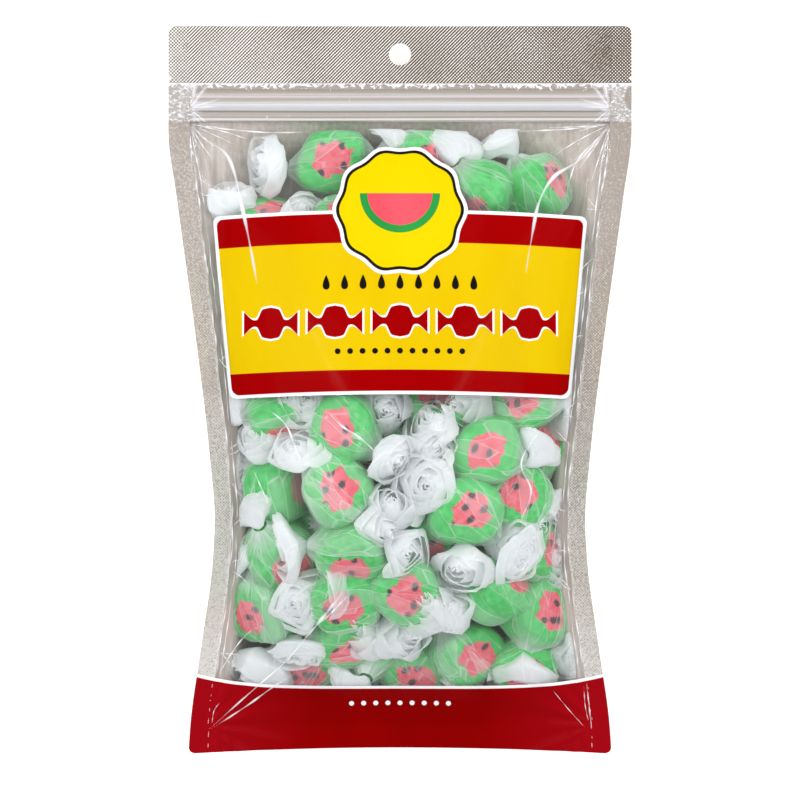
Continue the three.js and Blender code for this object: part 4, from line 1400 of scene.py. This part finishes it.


# Pieces that show through the window, placed one by one
SHOWN = (
    Placed(-24.1, 80.6, 21, (0, 0, 1), 187, ((-50.5, 79.2, 3), None)),
    Placed(8.7, 79.5, 22, (0.45, 0.1, 0.9), 120, ((-0.5, 90.5, 4), None)),
    Placed(28.5, 67.8, 28, (-0.3, -0.6, 0.75), 112, ((22.2, 88.0, 5), None)),
    Placed(47.0, 70.5, 23, (0.75, 0.35, 0.55), 135, ((34.6, 88.0, 5), None)),
    Placed(-45.0, 54.5, 24, (0.1, 0.8, 0.6), 165, ((-60.5, 71.0, 2), None)),
    Placed(-19.1, 55.0, 28, (0, 0.8, 0.6), 160, ((-29.5, 61.5, 4), None)),
    Placed(-40.5, -8.9, 36, (0.2, -0.8, 0.55), 175, ((-57.0, -7.9, 4), None)),
    Placed(-18.3, -14.8, 45, (-0.33, 0.05, 0.94), -32, ((-2.0, -26.0, 3), (-31.0, -4.0, 3))),
    Placed(-42.0, -36.0, 41, (0.85, 0.1, 0.5), 112, ((-49.5, -17.0, 1), None)),
    Placed(-21.4, -35.5, 45, (0.0, 0.06, 1), -42, ((-5.5, -47.5, 3), (-34.4, -19.5, 1))),
    Placed(12.8, -7.2, 30, (0, 0.6, 0.8), 175, ((-2.7, -6.5, 1), None)),
    Placed(43.0, -5.1, 41, (0, 0.1, 1), -5, ((58.5, -6.1, 4), (22.0, -6.0, 3))),
    Placed(30.8, -23.4, 46, (-0.06, 0.05, 1), -14, ((49.2, -18.0, 4), (9.0, -10.5, 3))),
    Placed(52.0, -22.6, 31, (0.4, 0.4, 0.8), -85, ((54.5, -45.0, 4), None)),
    Placed(40.5, -38.0, 36, (0.1, 0.15, 1), -92, ((39.9, -51.5, 1), (38, -20, 12))),
    Placed(21.4, -44.1, 45, (0.22, 0.1, 0.96), 140, ((8.6, -33.2, 1), None)),
    Placed(11.0, -51.5, 33, (0, -0.7, 0.7), 139, ((0.0, -37.7, 1), None)),
    Placed(-17.3, -58.3, 45, (-0.05, -0.72, 0.68), 2, ((3.1, -58.0, 1), (-40.5, -57.5, 3))),
    Placed(-41.0, -60.0, 33, (0.3, -0.5, 0.8), 125, ((-52.0, -41.0, 3), None)),
    Placed(-45.8, -75.6, 35, (-0.62, -0.35, 0.7), 95, ((-56.5, -58.6, 3), (-52.5, -104.5, 4))),
    Placed(2.4, -69.5, 40, (-0.05, -0.25, 0.95), -8, ((10.4, -82.0, 3), None)),
    Placed(36.5, -69.0, 41, (0.75, 0.4, 0.52), 165, ((22.0, -67.0, 1), None)),
    Placed(50.4, -78.0, 36, (0.6, 0.0, 0.8), 70, ((54.6, -60.8, 1), (43.0, -103.0, 3))),
    Placed(-17.3, -85.9, 40, (0.2, -0.7, 0.68), -8, ((3.1, -87.6, 1), (-34.5, -94.5, 3))),
    Placed(-33.0, -98.0, 26, (0, -0.35, 0.93), 60, (None, None)),
    Placed(5.2, -98.0, 24, (0, -0.35, 0.93), 138, ((-15.0, -84.5, 2), None)),
    Placed(20.8, -92.2, 34, (0.42, -0.2, 0.88), 135, ((7.0, -74.0, 2), None)),
    Placed(43.5, -98.0, 22, (0.1, -0.3, 0.95), 15, ((60.5, -97.3, 4), None)),
    Placed(-18.4, -72.3, 30, (0, -0.4, 0.9), 190, ((-34.0, -75.5, 2), None)),
    Placed(-10.0, -92.0, 18, (0.3, 0.6, 0.7), -110, ((-15.0, -104.5, 2), None)),
    Placed(-36.0, -22.0, 26, (0.5, -0.6, 0.6), 210, ((-55.0, -32.0, 4), None)),
    Placed(33.0, -53.0, 13, (-0.6, 0.3, 0.7), 10, ((50.5, -50.0, 2), None)),
    Placed(-3.0, -22.0, 17, (-0.6, 0.0, 0.8), 0, ((10.7, -22.3, 2), None)),
    Placed(46.5, -58.0, 13, (0.9, 0.0, 0.45), 180, ((41.3, -59.6, 2), None)),
    Placed(13.0, -80.0, 13, (-0.9, 0.0, 0.45), 0, ((17.0, -75.5, 2), None)),
)


@dataclass
class Filling:
    """Wrapped taffy pieces: a rounded slice of rope in each, in a sheet of waxed paper.

    The fields from nearest to home_share steer how the pieces settle: how close two middles may
    come, how far each round pushes them apart, and how strongly they go back to their places. The
    soft fields are the depths over which a film presses what would pass it. Hidden pieces lie on
    layers, each the columns' x, the rows' y and the height of its middles. A fine or plain belly
    or twist is its number of points round and along.
    """

    radius: float = 12.3
    half_thickness: float = 10.0
    roundness: float = 4.4
    clearance: float = 0.3
    pleat_height: float = 1.0
    slack_height: float = 0.25
    neck_gap: float = 2.6
    neck_radius: float = 2.1
    fan_length: float = 14.5
    fan_radius: float = 13.4
    fold_sharpness: float = 0.8
    film_gap: float = 2.2
    room_top: float = 92.2
    room_foot: float = -116.0
    side_room: float = 2.6
    film_room: float = 0.7
    lining_room: float = 0.35
    soft_ends: float = 3.0
    soft_sides: float = 4.0
    soft_top: float = 3.0
    soft_low: float = 2.0
    low_layer: float = 27.0
    layers: tuple = (((-38, -13, 13, 38), (-88, -64, -40, -16), 13),
                     ((-45, -15, 15, 45), (10,), 38), ((-45, -15, 15, 45), (33,), 34),
                     ((-30, 0, 30), (8, 32), 14))
    lowest_row: float = -108.0
    highest_row: float = 83.0
    nearest: float = 22.6
    rounds: int = 160
    push_share: float = 0.22
    sideways_share: float = 0.12
    home_share: float = 0.04
    overlap: float = 0.21
    shortest_twist: float = 10.0
    longest_twist: float = 28.0
    fine_belly: tuple[int, int] = (96, 31)
    fine_twist: tuple[int, int] = (190, 13)
    plain_belly: tuple[int, int] = (48, 15)
    plain_twist: tuple[int, int] = (60, 8)
    seed: int = 11

    def __post_init__(self) -> None:
        """Draw the hidden pieces, and settle all of them against each other and the films."""
        self.random = np.random.default_rng(self.seed)
        placed = list(SHOWN) + self.hidden()
        self.middles = np.array([[p.x, p.y, p.z] for p in placed], dtype=float)
        self.faces = unit(np.array([p.face for p in placed], dtype=float))
        turns = np.radians([p.turn for p in placed])
        along = np.stack([np.cos(turns), np.sin(turns), np.zeros_like(turns)], axis=-1)
        along -= self.faces * np.sum(along * self.faces, axis=-1, keepdims=True)
        self.axes = unit(along)
        self.tips = [p.tips for p in placed]
        self.settle(len(SHOWN))

    def hidden(self) -> list[Placed]:
        """Pieces under the label and in the lowest layer, scattered on rows.

        A place is left out where a piece that shows already lies low.
        """
        made = []
        low = np.array([(p.x, p.y) for p in SHOWN if p.z < self.low_layer])
        places = [(x, y, z) for columns, rows, z in self.layers for y in rows for x in columns]
        for x, y, z in places:
            if np.min(np.hypot(*(low - (x, y)).T)) < self.radius * 1.3:
                continue
            shake = self.random.uniform(-4, 4, 2)
            face = self.random.normal(0, 1, 3)
            turn = self.random.uniform(0, 360)
            made.append(Placed(x + shake[0], y + shake[1], z, tuple(face), turn))
        return made

    def settle(self, shown: int) -> None:
        """Push overlapping pieces apart, and keep them between the two films.

        Each round moves every pair that is too close along the line between the two, mostly in
        height for pieces that show, then lifts or lowers each to lie between the films.
        """
        reach = np.sqrt(self.radius ** 2 * (1 - self.faces[:, 2] ** 2)
                        + (self.half_thickness * self.faces[:, 2]) ** 2)
        home = self.middles.copy()
        ease = np.ones((len(home), 3))
        ease[:shown, :2] = self.sideways_share
        for _ in range(self.rounds):
            apart = self.middles[:, None, :] - self.middles[None, :, :]
            distance = np.linalg.norm(apart, axis=-1) + np.eye(len(home)) * 1e3
            lack = np.clip(self.nearest - distance, 0, None)
            push = np.sum(apart / distance[..., None] * lack[..., None], axis=1) * self.push_share
            self.middles += push * ease
            self.middles[:, :2] += (home[:, :2] - self.middles[:, :2]) * self.home_share
            x, y = self.middles[:, 0], self.middles[:, 1]
            limit = FORM.seam_half(y) - self.radius - self.side_room
            self.middles[:, 0] = np.clip(x, -limit, limit)
            self.middles[:, 1] = np.clip(y, self.lowest_row, self.highest_row)
            x, y = self.middles[:, 0], self.middles[:, 1]
            top = FORM.crown(x, y) - (reach + self.film_gap) * self.slant(FORM.crown, x, y)
            low = FORM.underside(x, y) + (reach + 0.6) * self.slant(FORM.underside, x, y)
            self.middles[:, 2] = np.maximum(np.minimum(self.middles[:, 2], top), np.minimum(low, top))

    @staticmethod
    def slant(surface: Callable, x: np.ndarray, y: np.ndarray) -> np.ndarray:
        """How much further up than straight across a film lies, because it slopes."""
        across = (surface(x + 4, y) - surface(x - 4, y)) / 8
        along = (surface(x, y + 4) - surface(x, y - 4)) / 8
        return np.sqrt(1 + np.minimum(across ** 2 + along ** 2, 1.2))

    def build(self) -> None:
        """Build the sweets and their papers as joined meshes."""
        self.bodies()
        self.papers()

    def place(self, local: np.ndarray, index: int) -> np.ndarray:
        """Turn local places, with x along the twists and z along the face, into the pouch."""
        axis, face = self.axes[index], self.faces[index]
        turned = np.stack([axis, np.cross(face, axis), face])
        return local @ turned + self.middles[index]

    def shaped(self, local: np.ndarray, index: int) -> np.ndarray:
        """Make each piece a little different: a size of its own, and a soft bulge by sines.

        Seen along the rope, its outline also swells and flattens with two, three and four turns
        of a cosine round it.
        """
        rng = np.random.default_rng(100 + index)
        size = rng.uniform(0.95, 1.04, 3)
        phase = rng.uniform(0, 6.28, 3)
        angle = np.arctan2(local[..., 1], local[..., 0])
        lumps = 1 + sum(share * np.cos(turns * angle + start) for turns, share, start in
                        zip((2, 3, 4), (0.035, 0.03, 0.03), rng.uniform(0, 6.28, 3)))
        local = local * np.stack([lumps, lumps, np.ones_like(lumps)], axis=-1)
        wave = np.stack([
            0.35 * np.sin(local[..., 1] / 5.2 + phase[0]),
            0.35 * np.sin(local[..., 0] / 5.8 + phase[1]),
            0.5 * np.sin(local[..., 0] / 6.5 + phase[2]) * np.cos(local[..., 1] / 6.1)], axis=-1)
        return local * size + wave

    def between_films(self, points: np.ndarray) -> np.ndarray:
        """Press places that would pass a film or a side seam back inside the pouch."""
        x, y, z = points[..., 0], points[..., 1], points[..., 2]
        y = self.room_top - pressed(self.room_top - y, self.soft_ends)
        y = self.room_foot + pressed(y - self.room_foot, self.soft_ends)
        limit = FORM.seam_half(y) - self.side_room
        x = np.sign(x) * (limit - pressed(limit - np.abs(x), self.soft_sides))
        top, low = FORM.crown(x, y) - self.film_room, FORM.lining(x, y) + self.lining_room
        half = np.maximum(top - low, 1.0) / 2
        z = top - pressed(top - z, np.minimum(half, self.soft_top))
        z = top - 2 * half + pressed(z - top + 2 * half, np.minimum(half, self.soft_low))
        return np.stack([x, y, z], axis=-1)

    def body_reach(self, x: np.ndarray, angle: np.ndarray) -> np.ndarray:
        """Distance from the twist axis to the sweet's surface.

        The sweet is a rounded slice: (distance from the rope's axis / radius) to a power, plus
        (height / half thickness) to the same power, is 1. The reach is found by halving.
        """
        low = np.zeros_like(x)
        high = np.full_like(x, 22.0)
        for _ in range(24):
            middle = (low + high) / 2
            across = np.hypot(x, middle * np.cos(angle)) / self.radius
            level = np.abs(middle * np.sin(angle)) / self.half_thickness
            inside = across ** self.roundness + level ** self.roundness < 1
            low = np.where(inside, middle, low)
            high = np.where(inside, high, middle)
        return low

    def bodies(self) -> None:
        """Sweets: each a rounded slice of rope, from the middle of one face to the other.

        Rings run from pole to pole. With a from 0 to pi, the ring's distance from the rope's axis
        is the radius times sin(a) and its height is the half thickness times cos(a), each raised
        to 2 / roundness.
        """
        a, b = np.meshgrid(np.linspace(0, np.pi, 29), np.linspace(0, 2 * np.pi, 49), indexing="ij")
        power = 2 / self.roundness
        out = np.maximum(np.sin(a), 0) ** power
        level = np.sign(np.cos(a)) * np.abs(np.cos(a)) ** power
        local = np.stack([self.radius * out * np.cos(b), self.radius * out * np.sin(b),
                          self.half_thickness * level], axis=-1)
        quads = grid_quads(*a.shape)
        points, slices, numbers, faces = [], [], [], []
        for index in range(len(self.middles)):
            points.append(self.between_films(self.place(self.shaped(local, index), index)))
            slices.append(local.reshape(-1, 3))
            numbers.append(np.full(a.size, float(index)))
            faces.append(quads + index * a.size)
        Piece("taffy_pieces", np.concatenate(points).reshape(-1, 3), np.concatenate(faces),
              PulledTaffy("pulled sugar taffy").material(), "taffy_green",
              vectors={"slice": np.concatenate(slices)},
              numbers={"number": np.concatenate(numbers)}).make()

    def papers(self) -> None:
        """Waxed papers: bellies round the sweets, and a twist at each end."""
        material = WaxedPaper("waxed tissue paper").material()
        count = len(self.middles)
        ends = [(i, end) for i in range(count) for end in (-1, 1)]
        seen = [(i, end) for i, end in ends if self.tips[i][0 if end > 0 else 1]]
        unseen = [pair for pair in ends if pair not in seen]
        shown, buried = range(len(SHOWN)), range(len(SHOWN), count)
        bellies = [self.belly(i, *self.fine_belly) for i in shown]
        self.joined("paper_bellies", bellies, material)
        twists = [self.twist(i, end, *self.fine_twist) for i, end in seen]
        self.joined("paper_twists", twists, material)
        deep = [self.belly(i, *self.plain_belly) for i in buried]
        deep += [self.twist(i, end, *self.plain_twist) for i, end in unseen]
        # Painted shade: the papers below are more see-through than those that show, so the gaps look
        # darker.
        below = WaxedPaper("waxed tissue paper below", free=0.38).material()
        self.joined("papers_below", deep, below)

    def joined(self, name: str, parts: list[dict], material: bpy.types.Material) -> None:
        """Join sheets into one piece with their attributes."""
        starts = np.cumsum([0] + [part["loose"].size for part in parts[:-1]])
        quads = [grid_quads(*part["loose"].shape) + start for part, start in zip(parts, starts)]
        flat = {key: np.concatenate([part[key].reshape(-1, 3) for part in parts])
                for key in ("points", "sheet")}
        single = {key: np.concatenate([part[key].ravel() for part in parts])
                  for key in ("loose", "edge")}
        Piece(name, flat["points"], np.concatenate(quads), material, "wax_paper",
              vectors={"sheet": flat["sheet"]}, numbers=single).make()

    def belly(self, index: int, around: int, along: int) -> dict:
        """Paper round one sweet, from neck to neck, with its edges overlapping by a fifth of a turn.

        At each place along the twist axis and angle round it, the paper lies on the sweet or on
        the cone that it is drawn into towards each neck, whichever is further out. Pleats run
        from the necks and fade towards the middle.
        """
        rng = np.random.default_rng(300 + index)
        neck = self.radius + self.neck_gap
        v = np.linspace(-1, 1, along)
        v = np.sign(v) * np.abs(v) ** 0.8
        u = np.linspace(0, 2 * (1 + self.overlap) * np.pi, around)
        x, angle = np.meshgrid(v * neck, u + rng.uniform(0, 6.28), indexing="ij")
        turn = np.meshgrid(v, u, indexing="ij")[1] / (2 * np.pi)
        start = 0.55 * self.radius
        cone = np.clip((neck - np.abs(x)) / (neck - start), 0, 1)
        wide = self.body_reach(np.full_like(x, start), angle)
        drawn = self.neck_radius + (wide - self.neck_radius) * cone ** 1.15
        reach = np.maximum(self.body_reach(x, angle), np.where(np.abs(x) > start, drawn, 0))
        out = smooth(0.35 * self.radius, neck, np.abs(x))
        count = int(rng.integers(9, 13))
        wave = np.abs(np.sin(count * angle / 2 + 1.5 * np.sin(angle + index)
                             + 0.12 * x * np.sign(x)))
        pleat = (0.15 + self.pleat_height * out * cone ** 0.5) * (1 - wave) ** 1.5
        slack = self.slack_height * np.sin(3 * angle + x / 4 + index) * np.sin(x / 5 + index)
        reach = reach + self.clearance + pleat + np.maximum(slack, 0) + 0.22 * turn
        local = np.stack([x, reach * np.cos(angle), reach * np.sin(angle)], axis=-1)
        points = self.between_films(self.place(self.shaped(local, index), index))
        spread = u[None, :] * self.radius + 0 * x
        cut = np.minimum(turn, 1 + self.overlap - turn) * 2 * np.pi * self.radius
        return {"points": points,
                "sheet": np.stack([spread + 97 * index, x, 0 * x + index], axis=-1),
                "loose": 0.75 * smooth(0.7 * self.radius, neck, np.abs(x)),
                "edge": 1 - smooth(0.0, 0.9, cut)}

    def neck(self, index: int, end: int) -> np.ndarray:
        """Middle of the tight neck at one end of a piece."""
        local = np.array([[end * (self.radius + self.neck_gap), 0, 0]])
        return self.place(self.shaped(local, index), index)[0]

    def aim(self, index: int, end: int, neck: np.ndarray, rng: np.random.Generator) -> tuple:
        """Direction and length of one twist, from its neck to the middle of its open rim.

        A twist that shows goes to its own tip. One that is out of sight runs on along the twist
        axis, a little aside.
        """
        tip = self.tips[index][0 if end > 0 else 1]
        if tip is None:
            aside = rng.uniform(-0.35, 0.35, 3)
            return unit(self.axes[index] * end + aside), self.fan_length * 0.9
        x, y, depth = tip
        target = np.array([x, y, float(FORM.crown(np.array(x), np.array(y))) - depth])
        reach = float(np.linalg.norm(target - neck))
        return (target - neck) / reach, min(max(reach, self.shortest_twist), self.longest_twist)

    def twist(self, index: int, end: int, around: int, along: int) -> dict:
        """Twisted end of one paper: a tight neck that opens into a folded bud.

        The sheet is a spiral of five to six turns about an axis that bends from the twist axis to
        the bud's own. Seen from the side its radius swells from the neck as a sine. Each turn lies
        inside the one before it, down to a tight middle. Seen along the axis it is part folded to
        straight sides: the radius of a side is part of the way from a circle's to that of a
        polygon with four to six corners a turn. A twist that stands up against the film is pushed
        closed by it: its turns curl in, the inner ones more, and those stand higher, as in a
        rosebud. One that lies down is pressed to a flat fan.
        """
        rng = np.random.default_rng(500 + 2 * index + (end > 0))
        turns = rng.uniform(5.0, 6.0)
        axis0 = self.axes[index] * end
        neck = self.neck(index, end)
        ahead, length = self.aim(index, end, neck, rng)
        upright = abs(float(ahead[2]))
        s, u = np.meshgrid(np.linspace(0, 1, along), np.linspace(0, turns * 2 * np.pi, around),
                           indexing="ij")
        share = u / (turns * 2 * np.pi)
        radius = self.fan_radius * rng.uniform(0.9, 1.12)
        swell = np.sin(np.pi / 2 * np.minimum(s / 0.75, 1)) ** 1.3
        closing = rng.uniform(0.05, 0.15) + upright * (0.12 + 0.5 * share)
        curl = 1 - closing * smooth(0.6, 1.0, s)
        opened = (self.neck_radius + (radius - self.neck_radius) * swell) * curl
        phases = rng.uniform(0, 6.28, 4)
        corners = rng.uniform(3.8, 5.6)
        bent = u * corners / (2 * np.pi) + phases[0] + 0.5 * np.sin(2 * s + phases[1])
        local = (bent % 1 - 0.5) * 2 * np.pi / corners
        side = 1 + self.fold_sharpness * (np.cos(np.pi / corners) / np.cos(local) - 1)
        ring = opened * (1 - 0.96 * share) * side
        ring = ring * (1 + 0.08 * np.sin(2.37 * u + phases[1]) * s)
        spin = u + 1.6 * (1 - s) ** 1.5 + phases[2]
        zigzag = np.abs((bent / 2 + phases[3]) % 1 - 0.5) * 4 - 1
        rise = 1 - 0.32 * upright + (0.6 * upright - 0.12) * share
        uneven = 0.1 * zigzag * (1 - 0.6 * share) + 0.07 * np.sin(1.7 * u + phases[2])
        reach = s * length * (rise + s * uneven)
        aside = rng.uniform(-0.28, 0.28, 2) * radius * (share * s)[..., None]
        mix = smooth(0, 0.3, s)[..., None]
        axis = unit(axis0 * (1 - mix) + ahead * mix)
        ref = np.cross(np.array([0.0, 0.0, 1.0]), ahead) + 0.05 * axis0
        first = unit(ref - axis * np.sum(ref * axis, axis=-1, keepdims=True))
        second = np.cross(axis, first)
        flatten = 0.5 + 0.4 * upright + rng.uniform(0, 0.1)
        line = neck + axis0 * 1.5 * np.minimum(s * 4, 1)[..., None] + ahead * reach[..., None]
        points = (line + first * (ring * np.cos(spin) + aside[..., 0])[..., None]
                  + second * (ring * np.sin(spin) * flatten + aside[..., 1])[..., None])
        points = self.between_films(points)
        cut = np.minimum((1 - s) * length, np.minimum(share, 1 - share) * turns * 30)
        return {"points": points,
                "sheet": np.stack([bent * WaxedPaper.fold_width, s * length + 40 * end,
                                   0 * s + 7 * index], axis=-1),
                "loose": np.ones_like(s),
                "edge": 1 - smooth(0.0, 0.8, cut)}


@dataclass
class Studio:
    """Pale floor, soft light from round the sides, and a camera that looks straight down."""

    camera_y: float = -4.4
    camera_height: float = 1215.0
    view_width: float = 284.5
    view_distance: float = 1200.0
    floor_half: float = 3000.0
    floor_drop: float = 0.2
    floor_glow: float = 0.45
    sky_strength: float = 0.72

    def build(self) -> None:
        """Set the floor, the lights, the camera and the way colours are shown."""
        self.floor()
        self.lights()
        self.camera()
        scene = bpy.context.scene
        scene.view_settings.view_transform = "Standard"
        scene.cycles.transparent_max_bounces = 64
        scene.cycles.diffuse_bounces = 9

    def floor(self) -> None:
        """Plain pale floor under the pouch: a sheet of white acrylic, softly lit from below."""
        mesh = bpy.data.meshes.new("floor")
        half, low = self.floor_half * MM, -self.floor_drop * MM
        mesh.from_pydata([(-half, -half, low), (half, -half, low), (half, half, low),
                          (-half, half, low)], [], [(0, 1, 2, 3)])
        material = bpy.data.materials.new("white acrylic light table")
        material.use_nodes = True
        tree = material.node_tree
        tree.nodes.clear()
        face = add(tree, "ShaderNodeBsdfDiffuse", {"Color": (0.9, 0.9, 0.9, 1)})
        glow = add(tree, "ShaderNodeEmission", {"Color": (1, 1, 1, 1), "Strength": self.floor_glow})
        shader = add(tree, "ShaderNodeAddShader", {0: face, 1: glow})
        add(tree, "ShaderNodeOutputMaterial", {"Surface": shader})
        mesh.materials.append(material)
        made = bpy.data.objects.new("floor", mesh)
        bpy.context.scene.collection.objects.link(made)

    def lights(self) -> None:
        """Soft sky, a soft box at each side, and two narrow strips that make the film glint."""
        world = bpy.data.worlds.new("studio")
        bpy.context.scene.world = world
        world.use_nodes = True
        sky = world.node_tree.nodes["Background"]
        sky.inputs["Color"].default_value = (0.97, 0.98, 1, 1)
        sky.inputs["Strength"].default_value = self.sky_strength
        for name, place, size, watts in (
                ("soft_left", (-1.1, 0.3, 1.3), (1.2, 1.2), 8.3),
                ("soft_right", (1.1, 0.3, 1.3), (1.2, 1.2), 8.3),
                ("soft_top", (0.0, 1.5, 1.3), (1.6, 0.8), 6.1),
                ("strip_left", (-0.75, 0.5, 1.5), (0.06, 0.9), 2),
                ("strip_right", (0.75, 0.5, 1.5), (0.06, 0.9), 2)):
            data = bpy.data.lights.new(name, "AREA")
            data.shape = "RECTANGLE"
            data.size, data.size_y = size
            data.energy = watts
            light = bpy.data.objects.new(name, data)
            bpy.context.scene.collection.objects.link(light)
            light.location = place
            away = np.array(place)
            flat = math.hypot(away[0], away[1])
            light.rotation_euler = (math.atan2(flat, away[2]), 0,
                                    math.atan2(away[0], -away[1]))

    def camera(self) -> None:
        """Camera straight above, with the frame's width fixed at its distance from the pouch."""
        data = bpy.data.cameras.new("camera")
        data.angle = 2 * math.atan(self.view_width / 2 / self.view_distance)
        made = bpy.data.objects.new("camera", data)
        made.location = (0, self.camera_y * MM, self.camera_height * MM)
        bpy.context.scene.collection.objects.link(made)
        bpy.context.scene.camera = made


def main() -> None:
    """Build the pouch and its contents in order."""
    logging.basicConfig(level=logging.INFO, format="%(message)s")
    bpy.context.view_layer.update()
    Studio().build()
    FilmBag().build()
    PrintWork().build()
    Filling().build()


if __name__ == "__main__":
    main()
